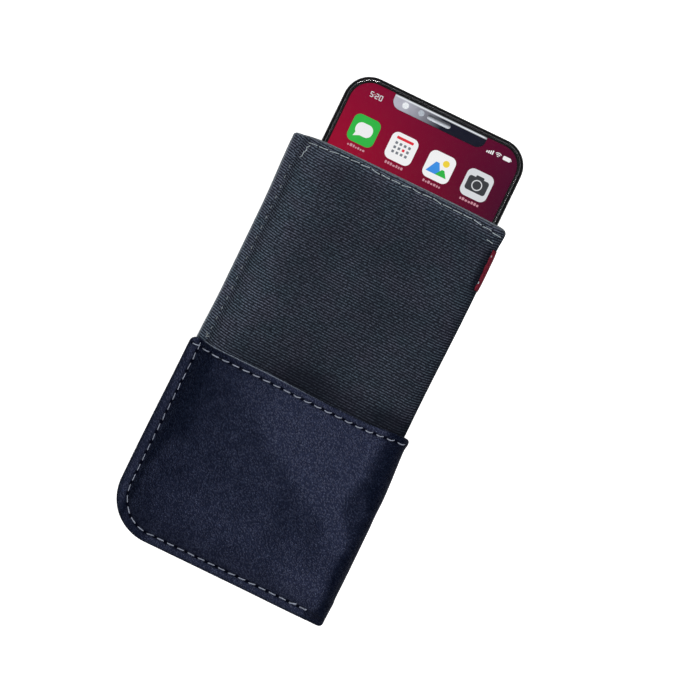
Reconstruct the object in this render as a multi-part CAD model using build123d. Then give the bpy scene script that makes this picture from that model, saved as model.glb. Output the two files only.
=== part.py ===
"""Phone sleeve with a leather card wallet, shown with a slim phone part-way in.

The case is sewn from a canvas sleeve, a soft lining bag and one piece of leather that is folded round the
right edge and makes an open card pocket on the front and on the back.  Units are millimetres.

Frame: +Z out of the front face, +Y towards the mouth that takes the phone, +X to the right.  The origin is on
the flat leather back, half-way up the leather, on the centre line of the phone.
"""

from build123d import *
import os

# ---- driving dimensions --------------------------------------------------------------------------
PHONE_WIDTH = 71.0
PHONE_LENGTH = 144.0
PHONE_THICKNESS = 7.7
PHONE_CORNER = 10.0
PHONE_SHOWING = 29.8  # length of phone standing out of the mouth at rest

CASE_LENGTH = 158.9  # bottom seam edge to canvas mouth
LEATHER_HEIGHT = 75.3
LEATHER_LEFT = -47.4
LEATHER_RIGHT = 41.0
LEATHER_CORNER = 15.0  # the one large round, at the lower left
CANVAS_LEFT = -45.2
CANVAS_RIGHT = 39.3

LEATHER = 1.0  # sheet thicknesses
CANVAS = 0.7
LINING = 0.4
HEM = 1.1  # canvas turned in over the lining's edge at the mouth
HEM_DEPTH = 1.2
LABEL = 0.35

PHONE_GAP = 0.35  # phone to lining, front and back
CARD_GAP = 0.85  # room for one payment card between leather and canvas
CLEAR = 0.02  # between sewn layers
LINING_CLEAR = 0.05

LEATHER_SEAM = 4.1  # leather edge to stitch line on the left
BOTTOM_SEAM = 3.5  # leather edge to stitch line along the bottom
CANVAS_SEAM = 2.9  # canvas edge to stitch line
MOUTH_SEAM = 2.5  # canvas mouth to stitch line
POCKET_SEAM = 3.0  # leather's top edge to stitch line
SEAM_TO_WALL = 0.5  # stitch line to the foot of the leather's raised wall
WALL_STEP = 0.8  # foot of the leather wall to foot of the canvas wall
CANVAS_TUCK = 1.2  # canvas stops this far inside the leather's bottom edge
ALLOWANCE = 1.8  # canvas turned in at the right seam

STITCH_PITCH = 4.15
STITCH_LENGTH = 3.0
THREAD = 0.45
TACK_PITCH = 0.6
TACK_LENGTH = 2.0
UPPER_TACK_X = -42.4
LOWER_TACK_X = 33.2

LABEL_LENGTH = 16.0
LABEL_DROP = 8.5  # canvas mouth to the label's upper end
LABEL_REACH = 1.9  # how far the label laps round onto the front and the back

# ---- half thicknesses through the stack, measured from the seam plane ----------------------------
PHONE_HALF = PHONE_THICKNESS / 2
LINING_INSIDE = PHONE_HALF + PHONE_GAP
LINING_OUTSIDE = LINING_INSIDE + LINING
CANVAS_OUTSIDE = LINING_OUTSIDE + LINING_CLEAR + CANVAS
LEATHER_INSIDE = CANVAS_OUTSIDE + CARD_GAP
HALF = LEATHER_INSIDE + LEATHER
MID = HALF  # height of the seam plane over the back face
CANVAS_BASE = CLEAR / 2  # underside of each sewing flange over the seam plane
LEATHER_BASE = CANVAS_BASE + CANVAS + CLEAR

# ---- places along the length and across the width ------------------------------------------------
BOTTOM = -LEATHER_HEIGHT / 2
POCKET_TOP = LEATHER_HEIGHT / 2
MOUTH = BOTTOM + CASE_LENGTH
PHONE_TOP = MOUTH + PHONE_SHOWING
PHONE_Y = PHONE_TOP - PHONE_LENGTH / 2
LINING_BOTTOM = BOTTOM + 8.6
LINING_TOP = MOUTH - HEM_DEPTH
LINING_HALF_WIDTH = PHONE_WIDTH / 2 + 0.7
LINING_CORNER = 8.0
LINING_NOSE = 4.0
SEAM_X = LEATHER_LEFT + LEATHER_SEAM
SEAM_Y = BOTTOM + BOTTOM_SEAM
CANVAS_SEAM_X = CANVAS_LEFT + CANVAS_SEAM
ALLOWANCE_X = CANVAS_RIGHT - CANVAS - ALLOWANCE / 2
ALLOWANCE_BOTTOM = SEAM_Y + 4.0
SLOPE = 2**0.5  # a 45 degree wall of thickness t is this times t across
SPARE = 5.0  # extra length on cutting shapes
EASE = 0.2  # flanges stop this far inside the round right edge


# ---- shared shapes -------------------------------------------------------------------------------
def outline(left, bottom, corner, right, top):
    """Flat sheet with one round, at its lower left corner."""
    sheet = Pos(left, bottom) * Rectangle(right - left, top - bottom, align=(Align.MIN, Align.MIN))
    lower_left = sheet.vertices().sort_by(lambda v: v.X + v.Y)[0]
    return fillet(lower_left, corner)


def raised_block(inset, right, top, base, height, nose):
    """Block over the seam plane, 45 degree walls on the left and bottom, round nose on the right.

    inset is measured in from the foot of the leather's wall; base is the height of the underside.
    """
    left = SEAM_X + SEAM_TO_WALL + inset
    bottom = SEAM_Y + SEAM_TO_WALL + inset
    corner = LEATHER_CORNER - LEATHER_SEAM - SEAM_TO_WALL - inset
    wide = outline(left, bottom, corner, right + height + SPARE, top + height + SPARE)
    block = extrude(wide, height, taper=45)
    corner_up = (Align.MAX, Align.MAX, Align.MIN)
    keep = Box(right - left + SPARE, top - bottom + SPARE, height, align=corner_up)
    block = block & (Pos(right, top, 0) * keep)
    nose_edge = block.edges().filter_by(Axis.Y).sort_by(lambda e: e.center().X + e.center().Z)[-1]
    return Pos(0, 0, MID + base) * fillet(nose_edge, nose)


def mirrored(shape):
    """The same shape on the other side of the seam plane."""
    return mirror(shape, about=Plane.XY.offset(MID))


def slab(size_x, size_y, size_z, x=0.0, y=0.0, z=0.0, corner=0.0):
    """Flat block centred at x, y with its lower face at z, its upright corners rounded by corner."""
    plan = RectangleRounded(size_x, size_y, corner) if corner else Rectangle(size_x, size_y)
    return Pos(x, y, z) * extrude(plan, size_z)


# ---- canvas sleeve -------------------------------------------------------------------------------
def canvas_block(thickness, top):
    """Outer block of a canvas panel for thickness 0, or its hollow for a sheet thickness."""
    inset = WALL_STEP + thickness * SLOPE
    height = CANVAS_OUTSIDE - CANVAS_BASE - thickness
    return raised_block(inset, CANVAS_RIGHT - thickness, top, CANVAS_BASE, height, height - CLEAR)


def canvas_panel():
    """Front canvas: a tray with a sewing flange on the left and bottom and a hem at the mouth."""
    corner = LEATHER_CORNER - CANVAS_TUCK
    sheet = outline(CANVAS_LEFT, BOTTOM + CANVAS_TUCK, corner, CANVAS_RIGHT - EASE, MOUTH)
    flange = Pos(0, 0, MID + CANVAS_BASE) * extrude(sheet, CANVAS)
    hem_zone = Box(200, 100, 50, align=(Align.CENTER, Align.MIN, Align.CENTER))
    hem_zone = Pos(0, LINING_TOP, MID) * hem_zone
    hollow = canvas_block(CANVAS, LINING_TOP) + (canvas_block(HEM, MOUTH + SPARE) & hem_zone)
    length = LINING_TOP - ALLOWANCE_BOTTOM
    middle = (LINING_TOP + ALLOWANCE_BOTTOM) / 2
    turned_in = slab(ALLOWANCE, length, CANVAS, ALLOWANCE_X, middle, MID + CANVAS_BASE)
    return flange + canvas_block(0, MOUTH) - hollow + turned_in


def lining_bag():
    """Soft bag that holds the phone, open at the mouth end."""

    def bag(grow, top):
        length = top - (LINING_BOTTOM - grow)
        width = 2 * (LINING_HALF_WIDTH + grow)
        low_z = MID - LINING_INSIDE - grow
        body = slab(width, length, 2 * (LINING_INSIDE + grow), 0, (top + LINING_BOTTOM - grow) / 2, low_z)
        corners = body.edges().filter_by(Axis.Z).sort_by(Axis.Y)[:2]
        body = fillet(corners, LINING_CORNER + grow)
        rims = body.edges().filter_by(lambda e: abs(abs(e.center().Z - MID) - LINING_INSIDE - grow) < 0.01)
        rims = rims.filter_by(lambda e: e.center().Y < top - 0.01)
        return fillet(rims, LINING_NOSE - LINING + grow)

    return bag(LINING, LINING_TOP - CLEAR) - bag(0.0, LINING_TOP + SPARE)


def side_label():
    """Woven label lapped round the right edge and caught in its seam."""
    zone_y = MOUTH - LABEL_DROP - LABEL_LENGTH / 2

    def band(grow):
        height = CANVAS_OUTSIDE - CANVAS_BASE + grow
        half = raised_block(WALL_STEP, CANVAS_RIGHT + grow, MOUTH, CANVAS_BASE, height, height - CLEAR)
        low_z = MID - 2 * CANVAS_BASE
        joint = slab(20, LABEL_LENGTH, 4 * CANVAS_BASE, CANVAS_RIGHT + grow - 10, zone_y, low_z)
        return half + mirrored(half) + joint

    zone_x = CANVAS_RIGHT + LABEL - LABEL_REACH
    zone = Box(10, LABEL_LENGTH, 50, align=(Align.MIN, Align.CENTER, Align.CENTER))
    zone = Pos(zone_x, zone_y, MID) * zone
    return (band(CLEAR + LABEL) - band(CLEAR)) & zone


# ---- leather wallet ------------------------------------------------------------------------------
def leather_block(thickness, top):
    """Outer block of the front leather for thickness 0, or its hollow for the sheet thickness."""
    height = HALF - LEATHER_BASE - thickness
    right = LEATHER_RIGHT - thickness
    return raised_block(thickness * SLOPE, right, top, LEATHER_BASE, height, height - CLEAR)


def leather_wrap():
    """One piece of leather: front panel, fold round the right edge, back panel."""
    sheet = outline(LEATHER_LEFT, BOTTOM, LEATHER_CORNER, LEATHER_RIGHT - EASE, POCKET_TOP)
    flange = Pos(0, 0, MID + LEATHER_BASE) * extrude(sheet, LEATHER)
    front = flange + leather_block(0, POCKET_TOP) - leather_block(LEATHER, POCKET_TOP + SPARE)
    reach = LEATHER_BASE + LEATHER / 2
    fold = slab(LEATHER, LEATHER_HEIGHT, 2 * reach, LEATHER_RIGHT - LEATHER / 2, 0, MID - reach)
    return front + mirrored(front) + fold


# ---- thread --------------------------------------------------------------------------------------
def stitch(length, depth):
    """One stitch along X: a bar half sunk in the surface at Z 0, with a leg down through each needle hole."""
    bar = Box(length, THREAD, THREAD)
    leg = Box(THREAD, THREAD, depth, align=(Align.CENTER, Align.CENTER, Align.MAX))
    reach = (length - THREAD) / 2
    return bar + Pos(-reach, 0, 0) * leg + Pos(reach, 0, 0) * leg


def stitch_row(path, height, depth):
    """Stitches at the machine's pitch along a path in plan, on a surface at the given height."""
    one = stitch(STITCH_LENGTH, depth)
    count = int(path.length / STITCH_PITCH)
    row = []
    for k in range(count):
        along = (k + 0.5) * path.length / count
        at = path.position_at(along, position_mode=PositionMode.LENGTH)
        way = path.tangent_at(along, position_mode=PositionMode.LENGTH)
        turn = Vector(1, 0, 0).get_signed_angle(way, Vector(0, 0, 1))
        row.append(Pos(at.X, at.Y, height) * Rot(0, 0, turn) * one)
    return row


def tack(x, y, height, count):
    """Bar tack: short stitches side by side, right through from the front to the back."""
    half = stitch(TACK_LENGTH, height - MID)
    bars = []
    for k in range(count):
        bar = Pos(x, y + (k - (count - 1) / 2) * TACK_PITCH, height) * half
        bars.append(bar + mirrored(bar))
    return bars


def straight(x1, y1, x2, y2):
    return Wire([Edge.make_line((x1, y1), (x2, y2))])


def seam_path():
    """Stitch line of the leather: down the left, round the corner, along the bottom."""
    radius = LEATHER_CORNER - LEATHER_SEAM
    foot = SEAM_Y + radius
    down = Line((SEAM_X, POCKET_TOP - 0.6), (SEAM_X, foot))
    turn = TangentArc((SEAM_X, foot), (SEAM_X + radius, SEAM_Y), tangent=(0, -1))
    along = Line((SEAM_X + radius, SEAM_Y), (LOWER_TACK_X - TACK_LENGTH / 2 - 0.6, SEAM_Y))
    return Wire([down, turn, along])


def thread_parts():
    """Every thread node by name.  Rows on the back mirror the front; the flat back's own row lies flush."""
    leather_flange = MID + LEATHER_BASE + LEATHER
    canvas_flange = MID + CANVAS_BASE + CANVAS
    mouth_y = MOUTH - MOUTH_SEAM
    pocket_y = POCKET_TOP - POCKET_SEAM
    side = straight(CANVAS_SEAM_X, MOUTH - 3.0, CANVAS_SEAM_X, POCKET_TOP + 4.6)
    mouth = straight(CANVAS_SEAM_X + 5.6, mouth_y, CANVAS_RIGHT - 4.6, mouth_y)
    pocket = straight(SEAM_X + 5.8, pocket_y, LEATHER_RIGHT - 6.2, pocket_y)
    inner = straight(ALLOWANCE_X, LINING_TOP - 2.0, ALLOWANCE_X, ALLOWANCE_BOTTOM + 2.0)
    rows = {
        "seam_thread": stitch_row(seam_path(), leather_flange, LEATHER_BASE + LEATHER - CLEAR),
        "canvas_side_thread": stitch_row(side, canvas_flange, CANVAS_BASE + CANVAS - CLEAR),
        "mouth_hem_thread": stitch_row(mouth, MID + CANVAS_OUTSIDE, HEM),
    }
    parts = {}
    for name, row in rows.items():
        parts[name + "_front"] = row
        parts[name + "_back"] = [mirrored(one) for one in row]
    flush = stitch_row(pocket, MID + HALF - THREAD / 2 - CLEAR, LEATHER - THREAD)
    parts["pocket_hem_thread_front"] = stitch_row(pocket, MID + HALF, LEATHER - 0.1)
    parts["pocket_hem_thread_back"] = [mirrored(one) for one in flush]
    hidden = stitch_row(inner, canvas_flange, CANVAS_BASE + CANVAS)
    parts["right_seam_thread"] = [one + mirrored(one) for one in hidden]
    parts["bar_tack_upper"] = tack(UPPER_TACK_X, POCKET_TOP + 2.4, canvas_flange, 4)
    parts["bar_tack_lower"] = tack(LOWER_TACK_X, SEAM_Y, leather_flange, 2)
    return {name: Compound(children=solids) for name, solids in parts.items()}


# ---- phone dimensions ----------------------------------------------------------------------------
BAND = 2.4  # side wall of the frame
BAND_NOSE = 3.3
FLOOR = 0.8  # plate across the middle of the frame
SEAT = 0.03  # clearance round parts set in the phone
GLASS = 0.7
GLASS_INSET = 1.25  # frame edge to glass edge
SCREEN_INSET = 2.4  # frame edge to lit screen
SCREEN_CORNER = PHONE_CORNER - 2.2
SCREEN = 1.0
MASK = 0.12
MASK_INSET = 1.8
NOTCH_WIDTH = 36.7
NOTCH_DEPTH = 5.0
NOTCH_ROUND = 3.2
NOTCH_DROP = 5.0  # phone top to the centres of the parts in the notch
SLOT_WIDTH = 9.2  # earpiece
SLOT_HEIGHT = 1.9
LENS_X = -13.4  # front camera
SENSOR_X = -7.1
BUTTON_WIDTH = 2.6
BUTTON_PROUD = 0.35
BUTTON_DEEP = 1.3
BUTTON_CUT = 1.75  # depth of the slots in the frame's sides
POWER_LENGTH = 16.0
POWER_DROP = 46.0  # phone top to the button's middle
VOLUME_LENGTH = 10.0
VOLUME_UP_DROP = 39.0
VOLUME_DOWN_DROP = 53.0
CAMERA_X = 24.0  # rear camera
CAMERA_DROP = 20.0
CAMERA_WIDTH = 12.0
CAMERA_LENGTH = 25.0
CAMERA_PLATE = 0.9
CAMERA_PROUD = 0.2
LENS_RADIUS = 3.6
LENS_SPREAD = 7.6
FLASH_RADIUS = 1.4
BATTERY = (28.0, 92.0, 2.3)
BOARD = (20.0, 88.0, 1.2)
PORT_WIDTH = 8.6
PORT_HEIGHT = 2.8
PORT_WALL = 0.3
PORT_DEEP = 6.0
SCREW_X = 7.6
SCREW_RADIUS = 0.7
SCREW_LENGTH = 2.0
GRILLE_RADIUS = 0.6
GRILLE_PITCH = 2.1
GRILLE_START = 10.6
GRILLE_COUNT = 5

FRONT = MID + PHONE_HALF
BACK = MID - PHONE_HALF
PHONE_BOTTOM = PHONE_TOP - PHONE_LENGTH
MASK_SEAT = FRONT - GLASS - SEAT - MASK - SEAT
CAMERA_Y = PHONE_TOP - CAMERA_DROP


# ---- phone ---------------------------------------------------------------------------------------
def phone_slab(inset, thickness, z, corner=None):
    """Flat phone-shaped block, smaller than the phone by inset all round."""
    corner = corner or PHONE_CORNER - inset
    return slab(PHONE_WIDTH - 2 * inset, PHONE_LENGTH - 2 * inset, thickness, 0, PHONE_Y, z, corner)


def notch(grow, thickness, z):
    """Block the shape of the notch, hanging from the screen's top edge."""
    top = PHONE_TOP - SCREEN_INSET + SPARE
    depth = NOTCH_DEPTH + SPARE + grow
    body = slab(NOTCH_WIDTH + 2 * grow, depth, thickness, 0, top - depth / 2, z)
    corners = body.edges().filter_by(Axis.Z).sort_by(Axis.Y)[:2]
    return fillet(corners, NOTCH_ROUND + grow)


def in_notch(x, plan, z, thickness):
    return Pos(x, PHONE_TOP - NOTCH_DROP, z) * extrude(plan, thickness)


BUTTONS = {
    "power_button": (1, POWER_DROP, POWER_LENGTH),
    "volume_up_button": (-1, VOLUME_UP_DROP, VOLUME_LENGTH),
    "volume_down_button": (-1, VOLUME_DOWN_DROP, VOLUME_LENGTH),
}


def button(side, drop, length):
    """Button on the right (side 1) or left (side -1), standing a little proud of the frame."""
    body = Box(BUTTON_DEEP, length, BUTTON_WIDTH, align=(Align.MAX, Align.CENTER, Align.CENTER))
    body = fillet(body.faces().sort_by(Axis.X)[-1].edges(), 0.2)
    turn = Rot(0, 0, 0 if side > 0 else 180)
    return Pos(side * (PHONE_WIDTH / 2 + BUTTON_PROUD), PHONE_TOP - drop, MID) * turn * body


def button_slot(side, drop, length):
    return Pos(side * PHONE_WIDTH / 2, PHONE_TOP - drop, MID) * Box(
        2 * BUTTON_CUT, length + 4 * SEAT, BUTTON_WIDTH + 4 * SEAT
    )


def port(grow, start, length):
    """Rounded bar the size of the charging port, running up into the phone from start past its bottom edge."""
    plan = SlotOverall(PORT_WIDTH + 2 * grow, PORT_HEIGHT + 2 * grow)
    return Pos(0, PHONE_BOTTOM + start, MID) * Rot(-90, 0, 0) * extrude(plan, length)


def bottom_rods(radius, length, places):
    """Round rods up into the phone's bottom edge, both sides of the port."""
    rod = Rot(-90, 0, 0) * Cylinder(radius, length, align=(Align.CENTER, Align.CENTER, Align.MIN))
    return [Pos(side * x, PHONE_BOTTOM, MID) * rod for x in places for side in (1, -1)]


def phone_frame():
    """Metal band and middle plate, with seats for both glasses, the buttons, the port and the screws."""
    body = phone_slab(0, PHONE_THICKNESS, BACK)
    rims = body.edges().filter_by(lambda e: abs(abs(e.center().Z - MID) - PHONE_HALF) < CLEAR)
    body = fillet(rims, BAND_NOSE)
    room = PHONE_HALF - FLOOR / 2
    body = body - phone_slab(BAND, room, MID + FLOOR / 2) - phone_slab(BAND, room, BACK)
    body = body - phone_slab(GLASS_INSET - SEAT, GLASS + SEAT, FRONT - GLASS - SEAT)
    body = body - phone_slab(GLASS_INSET - SEAT, GLASS + SEAT, BACK)
    body = body - phone_slab(MASK_INSET, MASK + SEAT, MASK_SEAT)
    for place in BUTTONS.values():
        body = body - button_slot(*place)
    grille = [GRILLE_START + k * GRILLE_PITCH for k in range(GRILLE_COUNT)]
    body = body - port(PORT_WALL + SEAT, -1.0, PORT_DEEP + 2.0)
    body = body - bottom_rods(GRILLE_RADIUS, 2 * BAND, grille)
    return body - bottom_rods(SCREW_RADIUS, SCREW_LENGTH, [SCREW_X])


def cover_glass(z, outer):
    """Cover glass from z up, softened round its outer face: -1 picks the upper face, 0 the lower."""
    body = phone_slab(GLASS_INSET, GLASS, z)
    return fillet(body.faces().sort_by(Axis.Z)[outer].edges(), 0.45)


def camera_pill(grow, thickness, z):
    width = CAMERA_WIDTH + 2 * grow
    length = CAMERA_LENGTH + 2 * grow
    return slab(width, length, thickness, CAMERA_X, CAMERA_Y, z, width / 2 - 0.1)


def rear_camera():
    """Camera plate through the back glass, with two lenses and a flash set in it."""
    low = BACK - CAMERA_PROUD
    plate = camera_pill(0, CAMERA_PLATE, low)
    plate = chamfer(plate.faces().sort_by(Axis.Z)[0].edges(), 0.15)
    parts = {}
    for name, radius, shift in (
        ("phone_lens_wide", LENS_RADIUS, LENS_SPREAD),
        ("phone_lens_tele", LENS_RADIUS, -LENS_SPREAD),
        ("phone_flash", FLASH_RADIUS, 0.0),
    ):
        place = Pos(CAMERA_X, CAMERA_Y + shift, low + CLEAR)
        parts[name] = place * extrude(Circle(radius), CAMERA_PLATE - 2 * CLEAR)
        plate = plate - place * Cylinder(radius + SEAT, 3 * CAMERA_PLATE)
    parts["phone_camera_plate"] = plate
    return parts


def phone_front_parts():
    """Mask with the notch, the screen under it, and the parts in the notch."""
    tall = 3 * SCREEN
    low = MASK_SEAT - SCREEN
    window = phone_slab(SCREEN_INSET, tall, low, SCREEN_CORNER) - notch(0, tall, low)
    mask = phone_slab(MASK_INSET + SEAT, MASK, MASK_SEAT + SEAT / 2) - window
    parts = {}
    for name, x, width, height in (
        ("phone_earpiece_mesh", 0.0, SLOT_WIDTH, SLOT_HEIGHT),
        ("phone_front_camera", LENS_X, 2.5, 2.4),
        ("phone_light_sensor", SENSOR_X, 2.3, 2.2),
    ):
        parts[name] = in_notch(x, SlotOverall(width, height), low, SCREEN + MASK)
        mask = mask - in_notch(x, SlotOverall(width + SEAT, height + SEAT), low, tall)
    parts["phone_bezel_mask"] = mask
    screen = phone_slab(BAND + SEAT, SCREEN - SEAT, low, SCREEN_CORNER)
    parts["phone_display"] = screen - notch(0.1, tall, low - SCREEN)
    return parts


def phone_parts():
    """Every phone node by name."""
    parts = {"phone_frame": phone_frame(), "phone_cover_glass": cover_glass(FRONT - GLASS, -1)}
    parts["phone_back_glass"] = cover_glass(BACK, 0) - camera_pill(SEAT, 3 * GLASS, BACK - GLASS)
    parts |= rear_camera() | phone_front_parts()
    inside = BACK + GLASS + 2 * SEAT
    parts["phone_battery"] = slab(*BATTERY, -11.0, PHONE_Y - 12.0, inside, 2.0)
    parts["phone_logic_board"] = slab(*BOARD, 18.0, PHONE_Y + 2.0, MID - FLOOR / 2 - BOARD[2] - SEAT, 1.5)
    parts["phone_port_shell"] = port(PORT_WALL, 0.4, PORT_DEEP) - port(0, 0, PORT_DEEP)
    screws = bottom_rods(SCREW_RADIUS - CLEAR, SCREW_LENGTH - 0.5, [SCREW_X])
    parts["phone_bottom_screws"] = Compound(children=[Pos(0, 0.3, 0) * screw for screw in screws])
    for name, place in BUTTONS.items():
        parts[name] = button(*place)
    return parts


# ---- everything ----------------------------------------------------------------------------------
def all_parts():
    canvas = canvas_panel()
    parts = {
        "canvas_front": canvas,
        "canvas_back": mirrored(canvas),
        "pocket_lining": lining_bag(),
        "leather_wrap": leather_wrap(),
        "side_label": side_label(),
    }
    return parts | thread_parts() | phone_parts()


os.makedirs("parts", exist_ok=True)
for node, shape in all_parts().items():
    export_step(shape, f"parts/{node}.step")
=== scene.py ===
"""Looks for the phone sleeve with a leather card wallet.

Lengths are millimetres in the frame's axes until a mesh is made: +Z out of the front face, +Y towards the
mouth, +X to the right.  Heights are measured from the seam plane, half-way between the front and the back.
Shape functions take plan coordinates x, y; side is 1 for the front and -1 for the back.
"""

import math

import bpy
import numpy as np
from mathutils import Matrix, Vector


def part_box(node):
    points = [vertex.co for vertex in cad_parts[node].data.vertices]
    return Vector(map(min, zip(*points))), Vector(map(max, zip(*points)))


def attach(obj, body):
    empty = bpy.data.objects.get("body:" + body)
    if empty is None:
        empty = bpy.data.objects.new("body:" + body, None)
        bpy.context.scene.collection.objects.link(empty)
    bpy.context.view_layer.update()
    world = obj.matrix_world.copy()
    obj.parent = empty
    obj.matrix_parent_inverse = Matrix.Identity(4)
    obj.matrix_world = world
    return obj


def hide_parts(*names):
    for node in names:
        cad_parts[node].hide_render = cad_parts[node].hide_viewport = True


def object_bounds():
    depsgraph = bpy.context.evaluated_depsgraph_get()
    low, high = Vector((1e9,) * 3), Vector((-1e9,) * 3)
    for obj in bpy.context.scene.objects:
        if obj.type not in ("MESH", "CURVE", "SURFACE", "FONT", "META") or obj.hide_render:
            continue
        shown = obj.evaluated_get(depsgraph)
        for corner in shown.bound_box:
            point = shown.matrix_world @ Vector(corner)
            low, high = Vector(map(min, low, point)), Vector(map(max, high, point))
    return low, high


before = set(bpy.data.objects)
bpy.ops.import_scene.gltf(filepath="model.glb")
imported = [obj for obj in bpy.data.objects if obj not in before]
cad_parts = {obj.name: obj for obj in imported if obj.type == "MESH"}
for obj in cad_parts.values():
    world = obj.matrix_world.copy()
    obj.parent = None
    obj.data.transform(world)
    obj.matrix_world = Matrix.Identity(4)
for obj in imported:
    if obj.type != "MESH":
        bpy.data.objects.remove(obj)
CAD_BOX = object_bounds()
MM = 0.001
TURN = 2 * math.pi


def box_mm(node):
    """Lowest and highest corner of a CAD node."""
    low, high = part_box(node)
    return np.array(low) / MM, np.array(high) / MM


# ---- the frame's own sizes ---------------------------------------------------------------
LEATHER_LOW, LEATHER_HIGH = box_mm("leather_wrap")
CANVAS_LOW, CANVAS_HIGH = box_mm("canvas_front")
LINING_LOW, LINING_HIGH = box_mm("pocket_lining")
LABEL_LOW, LABEL_HIGH = box_mm("side_label")
PHONE_LOW, PHONE_HIGH = box_mm("phone_frame")
SCREEN_FACE = box_mm("phone_display")[1][2] + 0.05
BOTTOM_ROW_END = box_mm("seam_thread_front")[1][0] + 3.3

MID = (LEATHER_LOW[2] + LEATHER_HIGH[2]) / 2
LEFT, BOTTOM = LEATHER_LOW[:2]
RIGHT, TOP = LEATHER_HIGH[:2]
CANVAS_LEFT, CANVAS_BOTTOM = CANVAS_LOW[:2]
CANVAS_RIGHT, MOUTH = CANVAS_HIGH[:2]
PHONE_TOP, PHONE_FOOT = PHONE_HIGH[1], PHONE_LOW[1]
LEATHER_TOP_H = LEATHER_HIGH[2] - MID
CANVAS_TOP_H = CANVAS_HIGH[2] - MID
LINING_TOP_H = LINING_HIGH[2] - MID

# ---- sheets and stitches ----------------------------------------------------------------
LEATHER, CANVAS, LINING = 1.0, 0.7, 0.4  # thickness
LEATHER_FLANGE_H, CANVAS_FLANGE_H = 1.73, 0.71  # top of the flat sewn rims
LEATHER_CORNER, CANVAS_CORNER = 17.5, 16.3  # lower left
LEATHER_SEAM, BOTTOM_SEAM, CANVAS_SEAM = 4.1, 3.5, 3.5  # seam lines, in from the edges
CANVAS_TURN = 5.3  # depth of the canvas's round right side
FOLD = 6.6  # depth of the leather's fold
TURNED_FACE = 0.02  # the canvas turned in at the right seam, over the seam plane
PITCH, STITCH = 4.15, 3.2  # from stitch to stitch, and length of one
THICK, SUNK, THIN = 0.22, 0.155, 0.13  # thread radii
RIB = 0.943  # spacing of the canvas ribs
LEATHER_GRID, CANVAS_GRID = 0.52, 0.6  # mesh spacing


# ---- small mathematics ------------------------------------------------------------------
def smooth(t):
    """0 below 0, 1 above 1, eased between."""
    t = np.clip(t, 0.0, 1.0)
    return t * t * (3 - 2 * t)


def bell(d, width=1.0):
    return np.exp(-((d / width) ** 2))


def spots(x, y, table):
    """Sum of soft oval spots, each given as height, centre x, centre y, half length and half width."""
    return sum(size * bell(np.hypot((x - cx) / w, (y - cy) / h)) for size, cx, cy, w, h in table)


def rolling(x, y, wave, seed):
    """Smooth rolling surface between about -1 and 1, with waves of roughly the given length."""
    rng = np.random.default_rng(seed)
    total = np.zeros(np.broadcast(x, y).shape)
    for _ in range(7):
        way = rng.uniform(0, TURN)
        k = TURN / (wave * rng.uniform(0.75, 1.5))
        total = total + np.sin(k * (x * math.cos(way) + y * math.sin(way)) + rng.uniform(0, TURN))
    return total / math.sqrt(7)


def spaced(length, step):
    """Places from 0 to length, close together near both ends; an even number of gaps."""
    ends = np.array([0.0, 0.08, 0.18, 0.3, 0.45, 0.65, 0.9, 1.25, 1.7])
    middle = length - 2 * ends[-1]
    count = 2 * int(round(middle / step / 2))
    inner = ends[-1] + middle * np.arange(1, count) / count
    return np.concatenate([ends, inner, length - ends[::-1]])


def rim_distance(x, y, left, bottom, corner):
    """Distance in from the left and bottom edges of a sheet with a round lower left corner."""
    a, b = x - left, y - bottom
    round_part = corner - np.hypot(np.clip(corner - a, 0, None), np.clip(corner - b, 0, None))
    return np.where((a < corner) & (b < corner), round_part, np.minimum(a, b))


def round_corner(x, y, left, bottom, corner):
    """Moves the points of the square at the lower left corner onto the quarter disc inside it."""
    a = (left + corner - x) / corner
    b = (bottom + corner - y) / corner
    inside = (a > 0) & (b > 0)
    big = np.where(inside, np.maximum(a, b), 1.0)
    small = np.where(inside, np.minimum(a, b), 0.0)
    angle = math.pi / 4 * small / np.maximum(big, 1e-9)
    long, short = big * np.cos(angle), big * np.sin(angle)
    new_x = left + corner - corner * np.where(a >= b, long, short)
    new_y = bottom + corner - corner * np.where(a >= b, short, long)
    return np.where(inside, new_x, x), np.where(inside, new_y, y)


def puffed(q, width, power, start=9.0):
    """Rise of a stuffed panel from 0 at its seam to 1 at width; steep first, then rounding off."""
    t = np.clip(q / width, 0.0, 1.0)
    return smooth(t * start) * (1 - (1 - t) ** power)


def edge_round(d, radius):
    """How far a turned edge has dropped at distance d in from it."""
    inside = np.clip(radius - d, 0.0, radius)
    return radius - np.sqrt(np.maximum(radius**2 - inside**2, 0.0))


# ---- outlines ---------------------------------------------------------------------------
def leather_left(y):
    return LEFT + 0.35 - 0.55 * smooth((TOP - y) / 50)


def leather_right(y):
    drop = TOP - y
    ear = 0.45 * bell(drop - 1.6, 1.6)
    return RIGHT - 0.5 + 1.15 * smooth(drop / 26) - 0.25 * smooth((drop - 50) / 25) + ear


def leather_top(x):
    sag = 0.75 * smooth((x - LEFT - 3) / 8) + 0.75 * smooth((x + 20) / 34) - 1.4 * smooth((x - 22) / 18)
    return TOP + 0.4 - sag - 0.25 * smooth((LEFT + 4.2 - x) / 1.2)


def pocket_drop(x):
    """Distance of the hem stitches below the leather's top edge."""
    return 2.75 - 0.3 * bell(x - 14, 16)


def canvas_left(y):
    drop = MOUTH - y
    return CANVAS_LEFT - 0.45 + 0.75 * smooth(drop / 30) - 0.5 * smooth((drop - 62) / 22)


def canvas_right(y):
    drop = MOUTH - y
    return CANVAS_RIGHT + 0.4 * bell(drop - 2.5, 3.5) - 0.7 * smooth((drop - 26) / 50)


def canvas_top(x):
    share = (2 * x - CANVAS_LEFT - CANVAS_RIGHT) / (CANVAS_RIGHT - CANVAS_LEFT)
    return MOUTH + 0.45 - (1.0 - 0.25 * np.sign(share)) * np.abs(share) ** 5


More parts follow.
